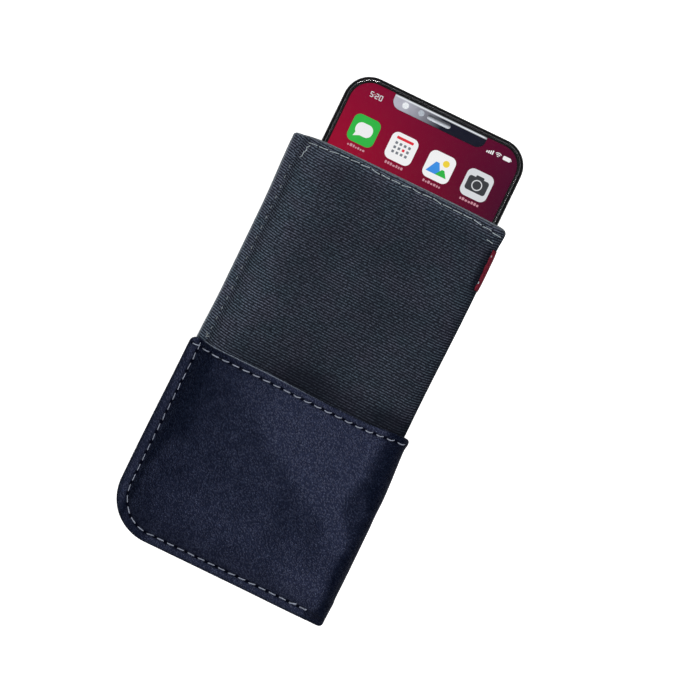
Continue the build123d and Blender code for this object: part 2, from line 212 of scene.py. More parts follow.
def mouth_drop(x):
    """Distance of the hem stitches below the canvas's top edge; the row strays at its right end."""
    return 2.05 + 0.3 * smooth((-26 - x) / 10) + 1.15 * smooth((x - 22) / 16)


# ---- stitch places ----------------------------------------------------------------------
def walk(points):
    """Places and directions along a line of points, at the machine's pitch."""
    px, py = np.array(points, float).T
    along = np.concatenate([[0], np.cumsum(np.hypot(np.diff(px), np.diff(py)))])
    count = int(along[-1] / PITCH + 0.5)
    places = (np.arange(count) + 0.5) * along[-1] / count

    def at(line, ahead=0.0):
        return np.interp(places + ahead, along, line)

    angle = np.arctan2(at(py, 0.2) - at(py, -0.2), at(px, 0.2) - at(px, -0.2))
    return np.stack([at(px), at(py), angle], axis=1)


def leather_seam_line():
    """Down the left, round the corner and along the bottom, inside the leather's edge."""
    corner = LEATHER_CORNER
    ys = np.linspace(TOP - 0.4, BOTTOM + corner, 40)
    down = [(leather_left(y) + LEATHER_SEAM, y) for y in ys]
    middle_x, middle_y = leather_left(BOTTOM) + corner, BOTTOM + corner
    turn = [
        (middle_x - (corner - LEATHER_SEAM) * math.cos(a), middle_y - (corner - BOTTOM_SEAM) * math.sin(a))
        for a in np.linspace(0, math.pi / 2, 24)
    ]
    along = [(x, BOTTOM + BOTTOM_SEAM) for x in np.linspace(middle_x, BOTTOM_ROW_END, 40)]
    return down + turn[1:] + along[1:]


def pocket_line():
    xs = np.linspace(LEFT + 1.2, RIGHT - 0.6, 60)
    return [(x, leather_top(max(x, LEFT + 4.6)) - pocket_drop(x)) for x in xs]


def mouth_line():
    xs = np.linspace(CANVAS_LEFT + 5.7, CANVAS_RIGHT - 0.7, 60)
    return [(x, canvas_top(x) - mouth_drop(x) + 0.14 * math.sin(x / 4.1)) for x in xs]


def canvas_side_line():
    return [(canvas_left(y) + CANVAS_SEAM, y) for y in np.linspace(MOUTH - 11, TOP + 3.4, 40)]


SEAM_ROW, POCKET_ROW = walk(leather_seam_line()), walk(pocket_line())
MOUTH_ROW, SIDE_ROW = walk(mouth_line()), walk(canvas_side_line())
CORNER_TACK = np.array([  # a zigzag
    (CANVAS_LEFT + 6.6 - 0.22 * k, MOUTH - 3.9 - 1.05 * k, math.radians(-118 + 52 * (k % 2)))
    for k in range(5)
])
RIGHT_TACK = np.array([(CANVAS_RIGHT - 4.0, MOUTH - 6.4, math.radians(-8))])
BAR_TACK = np.array([(-42.1 + 0.3 * k, 40.1 - 0.5 * k, math.radians(80 - 55 * k)) for k in (-1, 0, 1)])


def needle_holes(row, length=STITCH):
    """Both ends of every stitch."""
    half = length / 2 * np.stack([np.cos(row[:, 2]), np.sin(row[:, 2])], 1)
    return np.concatenate([row[:, :2] - half, row[:, :2] + half])


def pits(x, y, holes, width):
    """Depth 0 to 1 of the small dents round needle holes."""
    total = np.zeros(np.broadcast(x, y).shape)
    for hole_x, hole_y in holes:
        near = (np.abs(x - hole_x) < 3 * width) & (np.abs(y - hole_y) < 3 * width)
        if near.any():
            total[near] += bell(np.hypot(x[near] - hole_x, y[near] - hole_y), width)
    return np.minimum(total, 1.0)


LEATHER_HOLES = np.concatenate([needle_holes(SEAM_ROW), needle_holes(POCKET_ROW)])
CANVAS_HOLES = np.concatenate([needle_holes(MOUTH_ROW), needle_holes(SIDE_ROW, 1.6)])


# ---- heights ----------------------------------------------------------------------------
def leather_rim(x, y):
    return rim_distance(x, y, leather_left(y), BOTTOM, LEATHER_CORNER)


def leather_seam_offset(x, y):
    """Distance in from the seam line; negative on the flange."""
    left_share = smooth((y - BOTTOM - x + leather_left(y)) / 30 + 0.5)
    return leather_rim(x, y) - (BOTTOM_SEAM + (LEATHER_SEAM - BOTTOM_SEAM) * left_share)


def over_ridge(x, y):
    """Distance above the soft ridge that runs from the middle of the front down to its right."""
    return 0.521 * (x + 8) + 0.853 * (y - 16)


BULGES = (  # beside the hollow before the fold, and two small knocks
    (0.75, 30.5, -20, 8, 11), (-0.85, 32, 7, 8, 9.5), (0.22, -19, -17, 6, 6), (0.2, -2, -19, 7, 5),
)


def front_relief(x, y):
    """The front's large shapes: crowned ridge, hollow, bulges, roll into the fold, and slow waves."""
    crown = 1.15 * bell(over_ridge(x, y), 15) * smooth((x + 34) / 30) * (1 - 0.6 * smooth((x - 24) / 12))
    roll = 1.5 * smooth((x - 30) / 11) ** 1.5 * smooth((y + 14) / 26)
    waves = 0.12 * rolling(x, y, 40, 3) + 0.07 * rolling(x, y, 15, 8) + 0.025 * rolling(x, y, 6, 9)
    return crown + spots(x, y, BULGES) + waves - roll


def leather_height(x, y, side):
    """Outer height of the leather over the seam plane."""
    x, y = np.broadcast_arrays(np.asarray(x, float), np.asarray(y, float))
    q = leather_seam_offset(x, y)
    open_end = smooth((x - (RIGHT - 10.0)) / 6.0)  # past the last bottom stitch the fold stays open
    open_q = np.minimum(x - leather_left(y) - LEATHER_SEAM, y - BOTTOM - BOTTOM_SEAM + 3.0)
    q = q + open_end * (open_q - q)
    flat = LEATHER_TOP_H + (front_relief(x, y) if side > 0 else -0.1 * (1 + rolling(x, y, 38, 5)))
    flat = flat - 0.55 * smooth((y - (TOP - 14)) / 13)
    width = 12.0 + 11.0 * smooth((y + 24) / 44)
    rise = puffed(q - 0.25, width, 2.1 + 0.09 * (width - 12))
    height = LEATHER_FLANGE_H + (flat - LEATHER_FLANGE_H) * rise
    pucker = 0.05 * np.cos(TURN * (x + y) / PITCH)
    height = height - (0.3 + pucker) * bell(q, 0.7) * (1 - open_end) + 0.16 * bell(q + 2.0, 1.2)
    hem = leather_top(x) - y
    below = hem - pocket_drop(x)
    height = height - 0.24 * bell(below, 0.7) + 0.1 * bell(below + 1.6, 0.9)
    height = height + 0.06 * bell(below - 2.2, 1.6) * np.cos(TURN * x / PITCH)
    height = height - 0.22 * pits(x, y, LEATHER_HOLES, 0.45)
    return height - 0.9 * edge_round(leather_rim(x, y), 0.55) - edge_round(hem, 0.5)


PAINTED_HIGHLIGHT_SPOTS = (  # painted highlights on the front's bulges
    (0.5, 33, -26, 14, 10), (0.3, 30, -10, 5, 5), (0.22, -20, -17, 6, 5), (0.16, -3, -18, 8, 5),
)


def leather_tone_and_painted_light(x, y, side):
    """Painted light and shade in the leather's colour, with a little random tone: painted shade in the wall by
    the seam and in the fold, painted highlight on the crown.
    """
    # the back: painted shade before the fold, and random tone
    if side < 0:
        return 0.42 - 0.12 * smooth((x - 34) / 4) + 0.12 * rolling(x, y, 30, 14)
    s = over_ridge(x, y)
    # painted light: lighter towards the right and along the ridge, painted shade just below the ridge, painted
    # highlights on the bulges
    tone = 0.27 + 0.21 * smooth((x + 42) / 44) + 0.46 * smooth((s + 2) / 6) * smooth((x + 36) / 42)
    tone = tone - 0.13 * bell(s + 6, 6) * smooth((x - 2) / 14) + spots(x, y, PAINTED_HIGHLIGHT_SPOTS)
    # painted shade in the wall by the left seam
    wall = 4.0 + 12.5 * smooth((y + 12) / 24)
    tone = tone - 0.48 * (1 - smooth((x + 43.5) / wall)) * smooth((x + 43.2) / 1.5)
    # painted shade in the fold and in the hollow before it
    fold = 34.2 - 4.6 * smooth((y + 5) / 20) - 4.5 * bell(y - 5, 7)
    tone = tone - 0.62 * smooth((x - fold) / 4.0)
    tone = tone - 0.3 * smooth((x - 31.5 - 3.5 * smooth((16 - y) / 8)) / 5.0)
    # painted light on the bottom flange and on the left flange
    bottom = 0.33 * (1 - smooth((y - BOTTOM - 2.4) / 1.6)) * smooth((x + 34) / 8) * smooth((36 - x) / 3)
    tone = tone + bottom + 0.3 * (1 - smooth((x - LEFT - 3.4) / 1.2))
    return np.clip(tone + 0.05 * rolling(x, y, 11, 15) + 0.04 * rolling(x, y, 5, 16), 0, 1)


def canvas_rim(x, y):
    return rim_distance(x, y, canvas_left(y), CANVAS_BOTTOM, CANVAS_CORNER)


def canvas_height(x, y, side):
    """Outer height of the canvas over the seam plane."""
    x, y = np.broadcast_arrays(np.asarray(x, float), np.asarray(y, float))
    q = canvas_rim(x, y) - CANVAS_SEAM
    waves = 0.07 * rolling(x, y, 34, 21 + side) + 0.03 * rolling(x, y, 12, 30 + side)
    shown = smooth((y - TOP - 2) / 10)  # the part the leather leaves free
    flat = CANVAS_TOP_H + waves * shown * smooth((x - CANVAS_LEFT - 8) / 8)
    if side > 0:  # the leather's edge presses a dip into it
        reach = 13.0 + 5.0 * bell(x + 3, 14) - 6.0 * smooth((x - 12) / 14)
        depth = 0.4 + 0.3 * bell(x + 3, 16) + 0.35 * bell(x - 33, 9)
        flat = flat + 0.65 * (1 - smooth((TOP + reach - y) / (reach - 1)) * depth) * shown
    width = 10.5 - 2.0 * smooth((-16 - y) / 8)
    height = CANVAS_FLANGE_H + (flat - CANVAS_FLANGE_H) * puffed(q + 0.3, width, 2.2, 4.0)
    hem = canvas_top(x) - y
    below = hem - mouth_drop(x)
    height = height - 0.1 * bell(q, 0.7) + 0.16 * (1 - smooth((hem - 5.6) / 1.6)) - 0.22 * bell(below, 0.7)
    height = height + 0.05 * bell(below - 2, 1.6) * np.cos(TURN * x / PITCH)
    height = height - 0.14 * pits(x, y, CANVAS_HOLES, 0.4)
    return height - 0.8 * edge_round(canvas_rim(x, y), 0.4) - edge_round(hem, 0.55)


def canvas_tone_and_painted_shade(x, y, side):
    """Yarn tone with painted shade: paler along the left seam and the mouth hem, with painted shadow on the
    canvas just above the leather's top edge and painted shade beside the label.
    """
    paler = 0.85 * bell(np.clip(x - CANVAS_LEFT - 1, 0, None), 12) + 0.5 * bell(MOUTH - y - 0.5, 4.5)
    # painted shadow on the canvas just above the leather's top edge, and painted shade patches over it and at
    # its right end
    shade = 0.26 * (1 - smooth((y - TOP - 1) / 11))
    shade = shade + spots(x, y, ((0.24, -3, TOP + 4, 11, 8), (0.4, 32, TOP + 3, 7, 3)))
    if side > 0:  # painted shade beside the label
        beside = smooth((y - LABEL_LOW[1] + 2) / 3) * smooth((LABEL_HIGH[1] + 1 - y) / 3)
        shade = shade + 0.45 * smooth((x - 34.6) / 2.6) * beside
    return np.clip(0.4 + paler - shade + 0.05 * rolling(x, y, 24, 40 + side), 0, 1)


def leather_fold(y, side):
    """Where the fold starts along X and how far it reaches to the right, at height y."""
    reach = np.minimum(FOLD, 0.98 * leather_height(RIGHT - 7.5, y, side))
    corner_cut = edge_round(y - BOTTOM, 1.5) + edge_round(TOP - y, 1.0)
    return leather_right(y) - corner_cut - reach, reach


def leather_face(x, y, side):
    """Outer height of the leather, followed round the fold."""
    start, reach = leather_fold(y, side)
    share = np.clip((x - start) / reach, 0.0, 0.98)
    return leather_height(np.minimum(x, start), y, side) * (1 - share**2.17) ** 0.46


def canvas_face(x, y, side):
    """Outer height of the canvas, followed round its right edge."""
    start = canvas_right(y) - CANVAS_TURN
    share = np.clip((x - start) / CANVAS_TURN, 0.0, 0.98)
    return canvas_height(np.minimum(x, start), y, side) * np.sqrt(1 - share**2)


def turned_face(x, y, side):
    """Outer height of the canvas turned in at the right seam."""
    return np.full(np.shape(x), CANVAS + TURNED_FACE)


# ---- meshes -----------------------------------------------------------------------------
def build(name, points, faces, attributes=None):
    """Mesh object from points in millimetres."""
    mesh = bpy.data.meshes.new(name)
    mesh.from_pydata((np.asarray(points) * MM).tolist(), [], faces)
    for label, values in (attributes or {}).items():
        values = np.asarray(values, np.float32)
        kind, field = ("FLOAT_VECTOR", "vector") if values.ndim == 2 else ("FLOAT", "value")
        mesh.attributes.new(label, kind, "POINT").data.foreach_set(field, values.ravel())
    mesh.validate()
    mesh.shade_smooth()
    piece = bpy.data.objects.new(name, mesh)
    bpy.context.scene.collection.objects.link(piece)
    return piece


def place_piece(piece, node, slot, look=None, body="case"):
    """Puts a piece on its body, hides the CAD node it stands for and gives it the material of its slot, or of
    look when given.
    """
    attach(piece, body)
    if node:
        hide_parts(node)
    piece.data.materials.append(LOOKS[look or slot])


def quads(index, flip=False):
    """Faces of a grid of point numbers."""
    loops = [index[:-1, :-1], index[:-1, 1:], index[1:, 1:], index[1:, :-1]]
    return np.stack([part.ravel() for part in loops[:: -1 if flip else 1]], 1).tolist()


def ring_quads(index, flip=False):
    """Faces of a grid of point numbers whose last column meets its first."""
    return quads(np.concatenate([index, index[:, :1]], axis=1), flip)


def rim_faces(outer, inner, flip):
    """Faces between a fine border and a border with half as many gaps."""
    faces = []
    for k in range(len(inner) - 1):
        a, b, c = outer[2 * k : 2 * k + 3]
        faces += [[a, b, inner[k]], [b, c, inner[k + 1], inner[k]]]
    return [face[::-1] for face in faces] if flip else faces


def normals_of(grid):
    normal = np.cross(np.gradient(grid, axis=1), np.gradient(grid, axis=0))
    return normal / np.maximum(np.linalg.norm(normal, axis=2, keepdims=True), 1e-9)


def shell(name, outer, inner, attributes, flip=False):
    """Closed sheet from a grid of outer points and a grid of inner points with half as many gaps."""
    count = outer[:, :, 0].size
    a = np.arange(count).reshape(outer.shape[:2])
    b = count + np.arange(inner[:, :, 0].size).reshape(inner.shape[:2])
    faces = quads(a, flip) + quads(b, not flip)
    faces += rim_faces(a[0], b[0], not flip) + rim_faces(a[-1], b[-1], flip)
    faces += rim_faces(a[:, 0], b[:, 0], flip) + rim_faces(a[:, -1], b[:, -1], not flip)
    points = np.concatenate([outer.reshape(-1, 3), inner.reshape(-1, 3)])
    joined = {
        label: np.concatenate([v.reshape(count, -1), v[::2, ::2].reshape(b.size, -1)]).squeeze()
        for label, v in attributes.items()
    }
    return build(name, points, faces, joined)


def sheet_coordinates(grid):
    """Arc lengths across and along a grid, so that weave and grain keep their size over every fold."""
    across = np.linalg.norm(np.diff(grid, axis=1), axis=2)
    along = np.linalg.norm(np.diff(grid, axis=0), axis=2)
    u = np.pad(np.cumsum(across, axis=1), ((0, 0), (1, 0)))
    v = np.pad(np.cumsum(along, axis=0), ((1, 0), (0, 0)))
    u = u - u[:, grid.shape[1] // 4][:, None]
    return np.stack([u, grid[:, :, 1] * 0.5 + v * 0.5, np.zeros_like(u)], axis=2)


def leather_panel(side):
    """Grid of one side of the wrap, from the left edge to the start of the fold, and the fold's reach."""
    xs = spaced(RIGHT - LEFT - FOLD, LEATHER_GRID)
    ys = BOTTOM + spaced(TOP - BOTTOM, LEATHER_GRID)
    start, reach = leather_fold(ys, side)
    left = leather_left(ys)
    x = left[:, None] + (start - left)[:, None] * (xs / xs[-1])[None, :]
    y_top = leather_top(x) - edge_round(x - left[:, None], 2.4)
    y = BOTTOM + (ys[:, None] - BOTTOM) * (y_top - BOTTOM) / (TOP - BOTTOM)
    # the back layer shows past the front along the bottom
    grow = (0.35 if side < 0 else 0.05) * (0.3 + smooth((x + 12) / 40)) - 0.15
    x, y = round_corner(x, y, leather_left(BOTTOM + LEATHER_CORNER), BOTTOM, LEATHER_CORNER)
    height = leather_height(x, y, side)
    y = y - grow * smooth((BOTTOM + 6 - y) / 6) * smooth((RIGHT - 1 - x) / 6)
    return np.stack([x, y, MID + side * height], axis=2), reach


def make_leather():
    front, reach = leather_panel(1)
    back, _ = leather_panel(-1)
    nose = []
    for angle in np.linspace(math.pi / 2, -math.pi / 2, 27)[1:-1]:
        share = (1 - math.sin(angle)) / 2
        column = front[:, -1] * (1 - share) + back[:, -1] * share
        edge = front[:, -1] if angle > 0 else back[:, -1]
        column[:, 0] += reach * abs(math.cos(angle)) ** 0.92
        column[:, 2] = MID + (edge[:, 2] - MID) * abs(math.sin(angle)) ** 0.92
        nose.append(column)
    grid = np.concatenate([front, np.stack(nose, axis=1), back[:, ::-1]], axis=1)
    if grid.shape[1] % 2 == 0:
        raise ValueError("the wrap needs an odd number of columns")
    inner = (grid - LEATHER * normals_of(grid))[::2, ::2]
    x, y, h = grid[:, :, 0], grid[:, :, 1], grid[:, :, 2] - MID
    hem = leather_top(x) - y
    front_share = np.where((x < RIGHT - 8) & (h > 0), 1.0, smooth((h - 1.0) / 3.5))
    # painted highlight along the pocket's top edge, strongest at the left, fading towards the middle
    painted_edge_highlight = bell(hem - 0.1, 0.19) * smooth((x - LEFT - 4.5) / 2) * (1 - smooth((x + 22) / 34))
    attributes = {
        "sheet": sheet_coordinates(grid),
        "edge": np.maximum(bell(np.clip(leather_rim(x, y), 0, None), 1.15), bell(hem, 0.4) * 0.4),
        "pit": pits(x, y, LEATHER_HOLES, 0.5) * (h != 0),  # none on the fold's very edge
        # painted shade along the seam and the pocket's hem stitches
        "painted_groove_shade": np.maximum(bell(leather_seam_offset(x, y), 0.9), bell(hem - pocket_drop(x), 0.8)),
        "painted_edge_highlight": painted_edge_highlight * (h > 0),
        # painted light and shade of the front and the back, blended round the fold
        "tone": leather_tone_and_painted_light(x, y, 1) * front_share + leather_tone_and_painted_light(x, y, -1) * (1 - front_share),
    }
    place_piece(shell("leather_wallet", grid, inner, attributes), "leather_wrap", "leather")


# The canvas turned in at the right seam: distance in from the edge, and height over the seam plane.
TURNED_IN = ((0.12, 0.2), (0.3, 0.06), (0.6, 0.02), (1.0, 0.02), (1.45, 0.02), (1.9, 0.02))


def make_canvas(side, word):
    """One canvas panel: flange, puffed face, round right side and the allowance turned in at its seam."""
    xs = spaced(CANVAS_RIGHT - CANVAS_LEFT - CANVAS_TURN, CANVAS_GRID)
    ys = CANVAS_BOTTOM + spaced(MOUTH - CANVAS_BOTTOM, CANVAS_GRID)
    left = canvas_left(ys)
    start = canvas_right(ys) - edge_round(MOUTH - ys, 1.6) - CANVAS_TURN
    x = left[:, None] + (start - left)[:, None] * (xs / xs[-1])[None, :]
    y_top = canvas_top(x) - 0.9 * edge_round(x - left[:, None], 1.4)
    y = CANVAS_BOTTOM + (ys[:, None] - CANVAS_BOTTOM) * (y_top - CANVAS_BOTTOM) / (MOUTH - CANVAS_BOTTOM)
    x, y = round_corner(x, y, canvas_left(CANVAS_BOTTOM), CANVAS_BOTTOM, CANVAS_CORNER)
    columns = list(np.stack([x, y, canvas_height(x, y, side)], axis=2).transpose(1, 0, 2))
    last, face = columns[-1], len(columns)
    for angle in np.linspace(math.pi / 2, math.asin(0.09), 15)[1:]:
        turned = last * (1, 1, math.sin(angle))
        columns.append(turned + (CANVAS_TURN * math.cos(angle), 0, 0))
    for inward, height in TURNED_IN:
        columns.append(last * (1, 1, 0) + (CANVAS_TURN - inward, 0, height))
    grid = np.stack(columns, axis=1)
    inner = grid - CANVAS * normals_of(grid)
    inner[:, :face, 2] = np.maximum(inner[:, :face, 2], TURNED_FACE)
    for k in range(len(TURNED_IN)):
        strip = last * (1, 1, 0) + (CANVAS_TURN - 0.85 - 0.2 * k, 0, CANVAS + TURNED_FACE)
        inner[:, k - len(TURNED_IN)] = strip
    x, y = grid[:, :, 0], grid[:, :, 1]
    attributes = {
        "sheet": sheet_coordinates(grid),
        "edge": np.maximum(bell(canvas_rim(x, y), 0.5), bell(canvas_top(x) - y, 0.5)),
        "pit": pits(x, y, CANVAS_HOLES, 0.4),
        # yarn tone with paler bands and painted shade
        "tone": canvas_tone_and_painted_shade(x, y, side),
    }
    outer, inner = grid * (1, 1, side) + (0, 0, MID), inner * (1, 1, side) + (0, 0, MID)
    piece = shell("canvas_" + word + "_cloth", outer, inner[::2, ::2], attributes, flip=side < 0)
    place_piece(piece, "canvas_" + word, "canvas")


def corners(half_width, half_height, radius, arc):
    """The four round corners of a rectangle about the origin, anticlockwise from the upper right."""
    for turn, (sx, sy) in enumerate(((1, 1), (-1, 1), (-1, -1), (1, -1))):
        angles = [math.pi / 2 * (turn + k / arc) for k in range(arc + 1)]
        cx, cy = sx * (half_width - radius), sy * (half_height - radius)
        yield [(cx + radius * math.cos(a), cy + radius * math.sin(a)) for a in angles]


def lining_rings(inset):
    """Rings of the lining bag, inset from its outer size, lowest ring first."""
    low, high = LINING_LOW[1] + inset, LINING_HIGH[1]
    rings = []
    for up in (high - low) * np.linspace(0, 1, 80) ** 2.2:
        half_width = LINING_HIGH[0] - inset - edge_round(up, 8.0)
        foot = math.sqrt(1 - (1 - min(1.0, up / 1.6)) ** 2)  # the bag rounds in at its foot
        half_height = (LINING_TOP_H - inset) * foot + 0.05
        radius = min(4.0 - inset, half_height * 0.98)
        ring = []
        for turn, corner in enumerate(corners(half_width, half_height, radius, 10)):
            ring += corner
            if turn % 2 == 0:  # the long sides need points along them
                run = 2 * (half_width - radius) * (turn - 1)
                ring += [(corner[-1][0] + run * k / 24, corner[-1][1]) for k in range(1, 24)]
        rings.append([(x, low + up, MID + z) for x, z in ring])
    return np.array(rings)


def make_lining():
    """Open-topped bag."""
    outer, inner = lining_rings(0.0), lining_rings(LINING)
    a = np.arange(outer[:, :, 0].size).reshape(outer.shape[:2])
    b = a + a.size
    faces = ring_quads(a, True) + ring_quads(b) + ring_quads(np.stack([a[-1], b[-1]]), True)
    faces += [a[0].tolist(), b[0, ::-1].tolist()]
    points = np.concatenate([outer.reshape(-1, 3), inner.reshape(-1, 3)])
    place_piece(build("lining_bag", points, faces), "pocket_lining", "lining")


# ---- thread -----------------------------------------------------------------------------
def stitch_paths(height, side, row, length, seed, bow=0.0, tilt=0.0, crown=0.3, slack=0.05):
    """Centre lines of stitches: each rises from one hole, lies on the sheet and dives into the next."""
    rng = np.random.default_rng(seed + side)
    t = np.linspace(-1, 1, 15)
    along = t * length / 2
    paths = []
    for x, y, angle in row:
        across = (bow + rng.normal(0, slack)) * (t**2 - 0.4) + (tilt + rng.normal(0, slack)) * along
        px = x + along * math.cos(angle) - across * math.sin(angle)
        py = y + along * math.sin(angle) + across * math.cos(angle)
        lie = crown * (1 - t**4) - 0.55 * smooth((np.abs(t) - 0.72) / 0.28)
        paths.append(np.stack([px, py, MID + side * (height(px, py, side) + lie)], axis=1))
    return paths


def cords(name, node, slot, paths, radii, knots=0.0):
    """One piece of three-ply cords, one along each path and closed at both ends."""
    around, plies, twist = 12, 3, 4.2
    rng = np.random.default_rng(len(paths))
    turn = np.linspace(0, TURN, around, endpoint=False)
    points, faces, ply, end, shade = [], [], [], [], []
    for path, radius in zip(paths, np.broadcast_to(radii, len(paths))):
        steps = np.linalg.norm(np.diff(path, axis=0), axis=1)
        run = np.concatenate([[0], np.cumsum(steps)])
        tangent = np.gradient(path, axis=0)
        tangent /= np.linalg.norm(tangent, axis=1)[:, None]
        across = np.cross(np.array([0, 0, 1.0]), path[-1] - path[0])
        across /= np.linalg.norm(across)
        up = np.cross(tangent, across)
        up /= np.linalg.norm(up, axis=1)[:, None]
        lobes = np.cos(plies * (turn[None, :] - twist * run[:, None] + rng.uniform(0, 6)))
        place = np.abs(np.linspace(-1, 1, len(path)))[:, None]
        girth = 1 - 0.35 * smooth((place - 0.55) / 0.45) + knots * bell(place - 0.8, 0.12)
        r = radius * girth * (0.94 + 0.13 * lobes)
        ring = across * (r * np.cos(turn))[:, :, None] + up[:, None, :] * (r * np.sin(turn))[:, :, None]
        index = len(points) * lobes.size + np.arange(lobes.size).reshape(lobes.shape)
        faces += ring_quads(index) + [index[0, ::-1].tolist(), index[-1].tolist()]
        points.append((path[:, None, :] + ring).reshape(-1, 3))
        ply.append(lobes.ravel())
        end.append(np.repeat(place, around))
        shade.append(np.full(lobes.size, rng.uniform(0, 1)))
    attributes = {"ply": np.concatenate(ply), "end": np.concatenate(end), "shade": np.concatenate(shade)}
    place_piece(build(name, np.concatenate(points), faces, attributes), node, slot)


def sew():
    """Every row of stitches and every tack, front and back."""
    along_bottom = smooth((1.1 + SEAM_ROW[:, 2]) / 0.9 + 0.4)  # 0 down the left side, 1 along the bottom
    seam_radii = SUNK + (THICK - SUNK) * along_bottom
    taut, loose = POCKET_ROW[POCKET_ROW[:, 0] < -4], POCKET_ROW[POCKET_ROW[:, 0] >= -4]
    doubled = SEAM_ROW[-2:] + np.array([0.1, 0.1, math.radians(16)])
    ys = np.arange(LEATHER_LOW[1] + 12.0, MOUTH - 5, PITCH)
    hidden = np.array([(canvas_right(y) - 1.35, y, math.pi / 2) for y in ys])
    bar, end, inside = [], [], []
    for side, word in ((1, "front"), (-1, "back")):
        leather, canvas = (leather_face, side), (canvas_face, side)
        seam = stitch_paths(*leather, SEAM_ROW, STITCH, 11, tilt=0.04, crown=0.2)
        cords("seam_stitches_" + word, "seam_thread_" + word, "thread_grey", seam, seam_radii)
        pocket = stitch_paths(*leather, taut, STITCH, 31, bow=0.12, tilt=0.07)
        pocket += stitch_paths(*leather, loose, 3.3, 41, bow=0.42, tilt=0.12, crown=0.28)
        cords("pocket_stitches_" + word, "pocket_hem_thread_" + word, "thread_grey", pocket, THICK)
        mouth = stitch_paths(*canvas, MOUTH_ROW, 4.05, 51, tilt=0.03, crown=0.2, slack=0.1)
        mouth += stitch_paths(*canvas, CORNER_TACK, 1.3, 61, crown=0.22, slack=0.25)
        mouth += stitch_paths(*canvas, RIGHT_TACK, 3.0, 71, crown=0.1)
        cords("mouth_stitches_" + word, "mouth_hem_thread_" + word, "thread_light", mouth, THIN, 0.9)
        dots = stitch_paths(*canvas, SIDE_ROW, 1.5, 81, crown=0.14)
        cords("side_stitches_" + word, "canvas_side_thread_" + word, "thread_dark", dots, THIN)
        bar += stitch_paths(*canvas, BAR_TACK, 1.7, 91)
        end += stitch_paths(*leather, doubled, STITCH * 1.05, 95, crown=0.55)
        inside += stitch_paths(turned_face, side, hidden, STITCH, 99 - side)  # both sides shaken alike
    cords("corner_bar_tack", "bar_tack_upper", "thread_dark", bar, THIN)
    cords("seam_end_tack", "bar_tack_lower", "thread_grey", end, THICK * 0.9)
    cords("right_seam_stitches", "right_seam_thread", "thread_dark", inside, 0.2)


# ---- label ------------------------------------------------------------------------------
def label_grid(lift):
    """Woven strip lapped round the canvas edge, as a grid over its length and its wrap."""
    t = np.linspace(-1, 1, 81)
    wrap = np.radians(45 - 4 * t**8 + 3.0 * smooth(t) + 1.8 * np.sin(5 * t + 1) + 1.3 * np.sin(13 * t))
    ys = np.linspace(LABEL_LOW[1], LABEL_HIGH[1], 81)
    y, share = np.meshgrid(ys, np.linspace(-1, 1, 61), indexing="ij")
    a = wrap[:, None] * share
    lap = canvas_height(CANVAS_RIGHT - CANVAS_TURN, y, 1)
    end = smooth((np.abs(share) - 0.8) / 0.12)
    stand = -0.12 + 0.2 * (1 - t**4)[:, None]  # the middle of the ribbon bows out from the cloth
    reach = CANVAS_TURN + stand + lift
    x = canvas_right(y) - CANVAS_TURN + reach * np.cos(a) + end * lift * 0.3
    h = (lap + 0.1 + lift) * np.sin(a) + end * 0.08 * np.sign(a)
    return np.stack([x, y + 0.05 * np.sin(a * 9), MID + h], axis=2)


def make_label():
    outer, inner = label_grid(0.33), label_grid(0.0)[::2, ::2]
    v = outer[:, :, 1] - LABEL_LOW[1]
    u = np.broadcast_to(np.linspace(-4, 4, v.shape[1]), v.shape)
    attributes = {"sheet": np.stack([u, v, 0 * u], axis=2), "edge": bell(np.minimum(v, v.max() - v), 0.35)}
    place_piece(shell("woven_label", outer, inner, attributes, flip=True), "side_label", "label")
    a = math.radians(46)
    t = np.linspace(-1, 1, 9)
    paths = []
    for drop in (2.4, 13.0):
        for side in (1, -1):
            y = LABEL_HIGH[1] - drop + 0.45 * t
            x = canvas_right(y) - CANVAS_TURN + 5.85 * math.cos(a) + 0.12 * (1 - t**4)
            h = 5.95 * math.sin(a) + 0.1 - 0.35 * t**4
            paths.append(np.stack([x, y, MID + side * h], axis=1))
    cords("label_tacks", None, "thread_light", paths, 0.2)


# ---- picture on the phone's screen ------------------------------------------------------
LAYER = 0.035  # thickness of one layer of shapes
TILE, TILE_ROUND = 10.4, 2.4
COLUMNS = [-23.1 + 15.15 * k for k in range(4)]
WHITE, PALE, GREY = (0.95, 0.95, 0.96), (0.72, 0.74, 0.77), (0.2, 0.22, 0.25)
CHARCOAL, DARK, CAPTION = (0.045, 0.048, 0.055), (0.02, 0.022, 0.028), (0.6, 0.27, 0.34)
RED, GREEN, BLUE = (0.8, 0.03, 0.05), (0.03, 0.48, 0.06), (0.05, 0.3, 0.85)
YELLOW, ORANGE = (0.95, 0.7, 0.05), (0.95, 0.3, 0.03)
DOCK, PAGE_DOT = (0.2, 0.02, 0.07), (0.5, 0.3, 0.35)


def rounded(x, y, width, height, radius, arc=6):
    """Outline of a rounded rectangle centred on x, y."""
    return [(x + cx, y + cy) for part in corners(width / 2, height / 2, radius, arc) for cx, cy in part]


def disc(x, y, radius, steps=28, start=0.0, sweep=TURN):
    """Outline of a disc, or the arc of a fan."""
    angles = [start + sweep * k / steps for k in range(steps + (sweep < TURN))]
    return [(x + radius * math.cos(a), y + radius * math.sin(a)) for a in angles]


def hill(x, foot, top, half):
    return [(x - half, foot), (x + half, foot), (x + 0.25 * half, top), (x - 0.2 * half, top)]


